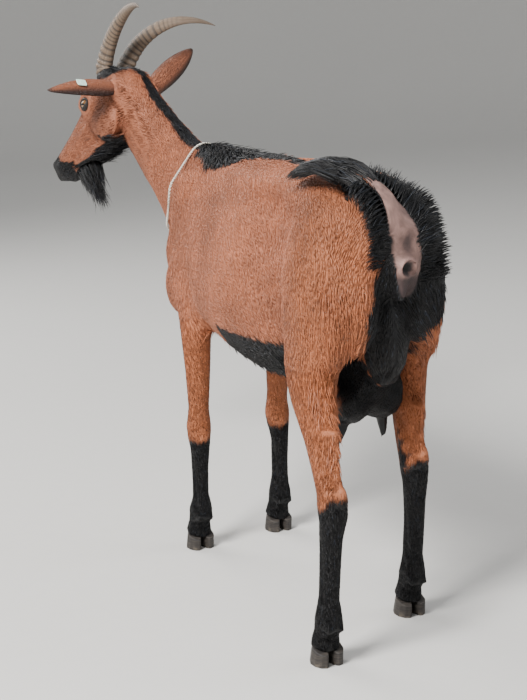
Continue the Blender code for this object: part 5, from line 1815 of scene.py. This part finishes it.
tag_look = Look("tag_plastic", Roughness=0.42, Specular_IOR_Level=0.5, Subsurface_Weight=0.0)
tag_fine = tag_look.grain(1800.0, 2.0)
tag_grime = tag_look.grain(240.0, 5.0)
tag_tone = tag_look.mixed(tag_look.step(tag_grime, 0.50, 0.80) * 0.55, (0.60, 0.80, 0.70),
                          (0.34, 0.40, 0.33))
tag = tag_form()
tag.data.materials.append(tag_look.finish(tag_tone, roughness=0.32 + 0.3 * tag_grime,
                                          height=tag_fine, depth=0.0001))
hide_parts("ear_tag")
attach(tag, "root")

# ------------------------------------------------------------------ floor, light and camera
# A pale matt floor that rises to a wall far off, under soft lamps: the strongest high behind her
# left, weaker ones to her right and in front, and an even pale surround.
floor_look = Look("floor", Roughness=0.85, Specular_IOR_Level=0.2)
floor_fine = floor_look.grain(30.0, 4.0)
floor_broad = floor_look.grain(0.8, 3.0)
floor_material = floor_look.finish(
    floor_look.shaded((0.62, 0.61, 0.59), 0.96 + 0.04 * floor_fine + 0.04 * floor_broad),
    height=floor_fine, depth=0.0004)
ROOM = [(0.05, 0.0), (3.0, 0.0), (8.0, 0.0), (8.9, 0.12), (9.7, 0.5), (10.3, 1.2), (10.6, 2.2),
        (10.7, 3.4), (10.7, 6.0)]
ROOM_SIDES = 64
room_angles = [2 * math.pi * k / ROOM_SIDES for k in range(ROOM_SIDES)]
room_points = [(reach * math.cos(angle), reach * math.sin(angle), height)
               for reach, height in ROOM for angle in room_angles]
room_faces = [face[::-1] for face in tube_faces(len(ROOM), ROOM_SIDES)]
room_faces.append(tuple(range(ROOM_SIDES)))
ground = mesh_of("floor", room_points, room_faces)
ground.data.materials.append(floor_material)


def lamp(name, place, aim, size, power, tint):
    """A soft square lamp turned to a point."""
    light = bpy.data.lights.new(name, "AREA")
    light.size, light.energy, light.color = size, power, tint
    made = placed(name, light)
    made.location = place
    made.rotation_mode = "QUATERNION"
    made.rotation_quaternion = (Vector(aim) - Vector(place)).to_track_quat("-Z", "Y")


lamp("key", (2.6, 1.6, 3.2), (0.0, 0.1, 0.5), 1.3, 370.0, (1.0, 0.985, 0.96))
lamp("fill", (-3.0, 1.4, 2.2), (0.0, 0.0, 0.5), 2.6, 45.0, (0.94, 0.97, 1.0))
lamp("front", (1.0, -3.2, 2.6), (0.0, 0.0, 0.5), 2.4, 115.0, (1.0, 0.99, 0.97))
surround = bpy.data.worlds.new("surround")
bpy.context.scene.world = surround
surround.use_nodes = True
sky = surround.node_tree.nodes["Background"]
sky.inputs["Color"].default_value = (0.86, 0.88, 0.90, 1.0)
sky.inputs["Strength"].default_value = 0.55

CAMERA_PLACE = Vector((1.1856, 2.7610, 1.0431))
CAMERA_AZIMUTH, CAMERA_RISE, CAMERA_ROLL = (math.radians(turn)
                                            for turn in (155.761, 12.133, -2.687))
seen = bpy.data.cameras.new("camera")
seen.sensor_fit, seen.sensor_height, seen.sensor_width = "VERTICAL", 36.0, 36.0
seen.lens = 87.48
camera = placed("camera", seen)
back = Vector((math.sin(CAMERA_AZIMUTH) * math.cos(CAMERA_RISE),
               -math.cos(CAMERA_AZIMUTH) * math.cos(CAMERA_RISE), math.sin(CAMERA_RISE)))
level_right = (-back).cross(Vector((0, 0, 1))).normalized()
level_up = level_right.cross(-back)
turned_right = level_right * math.cos(CAMERA_ROLL) + level_up * math.sin(CAMERA_ROLL)
turned_up = level_up * math.cos(CAMERA_ROLL) - level_right * math.sin(CAMERA_ROLL)
camera.matrix_world = Matrix.Translation(CAMERA_PLACE) @ Matrix(
    (turned_right, turned_up, back)).transposed().to_4x4()
bpy.context.scene.camera = camera

bpy.context.view_layer.update()
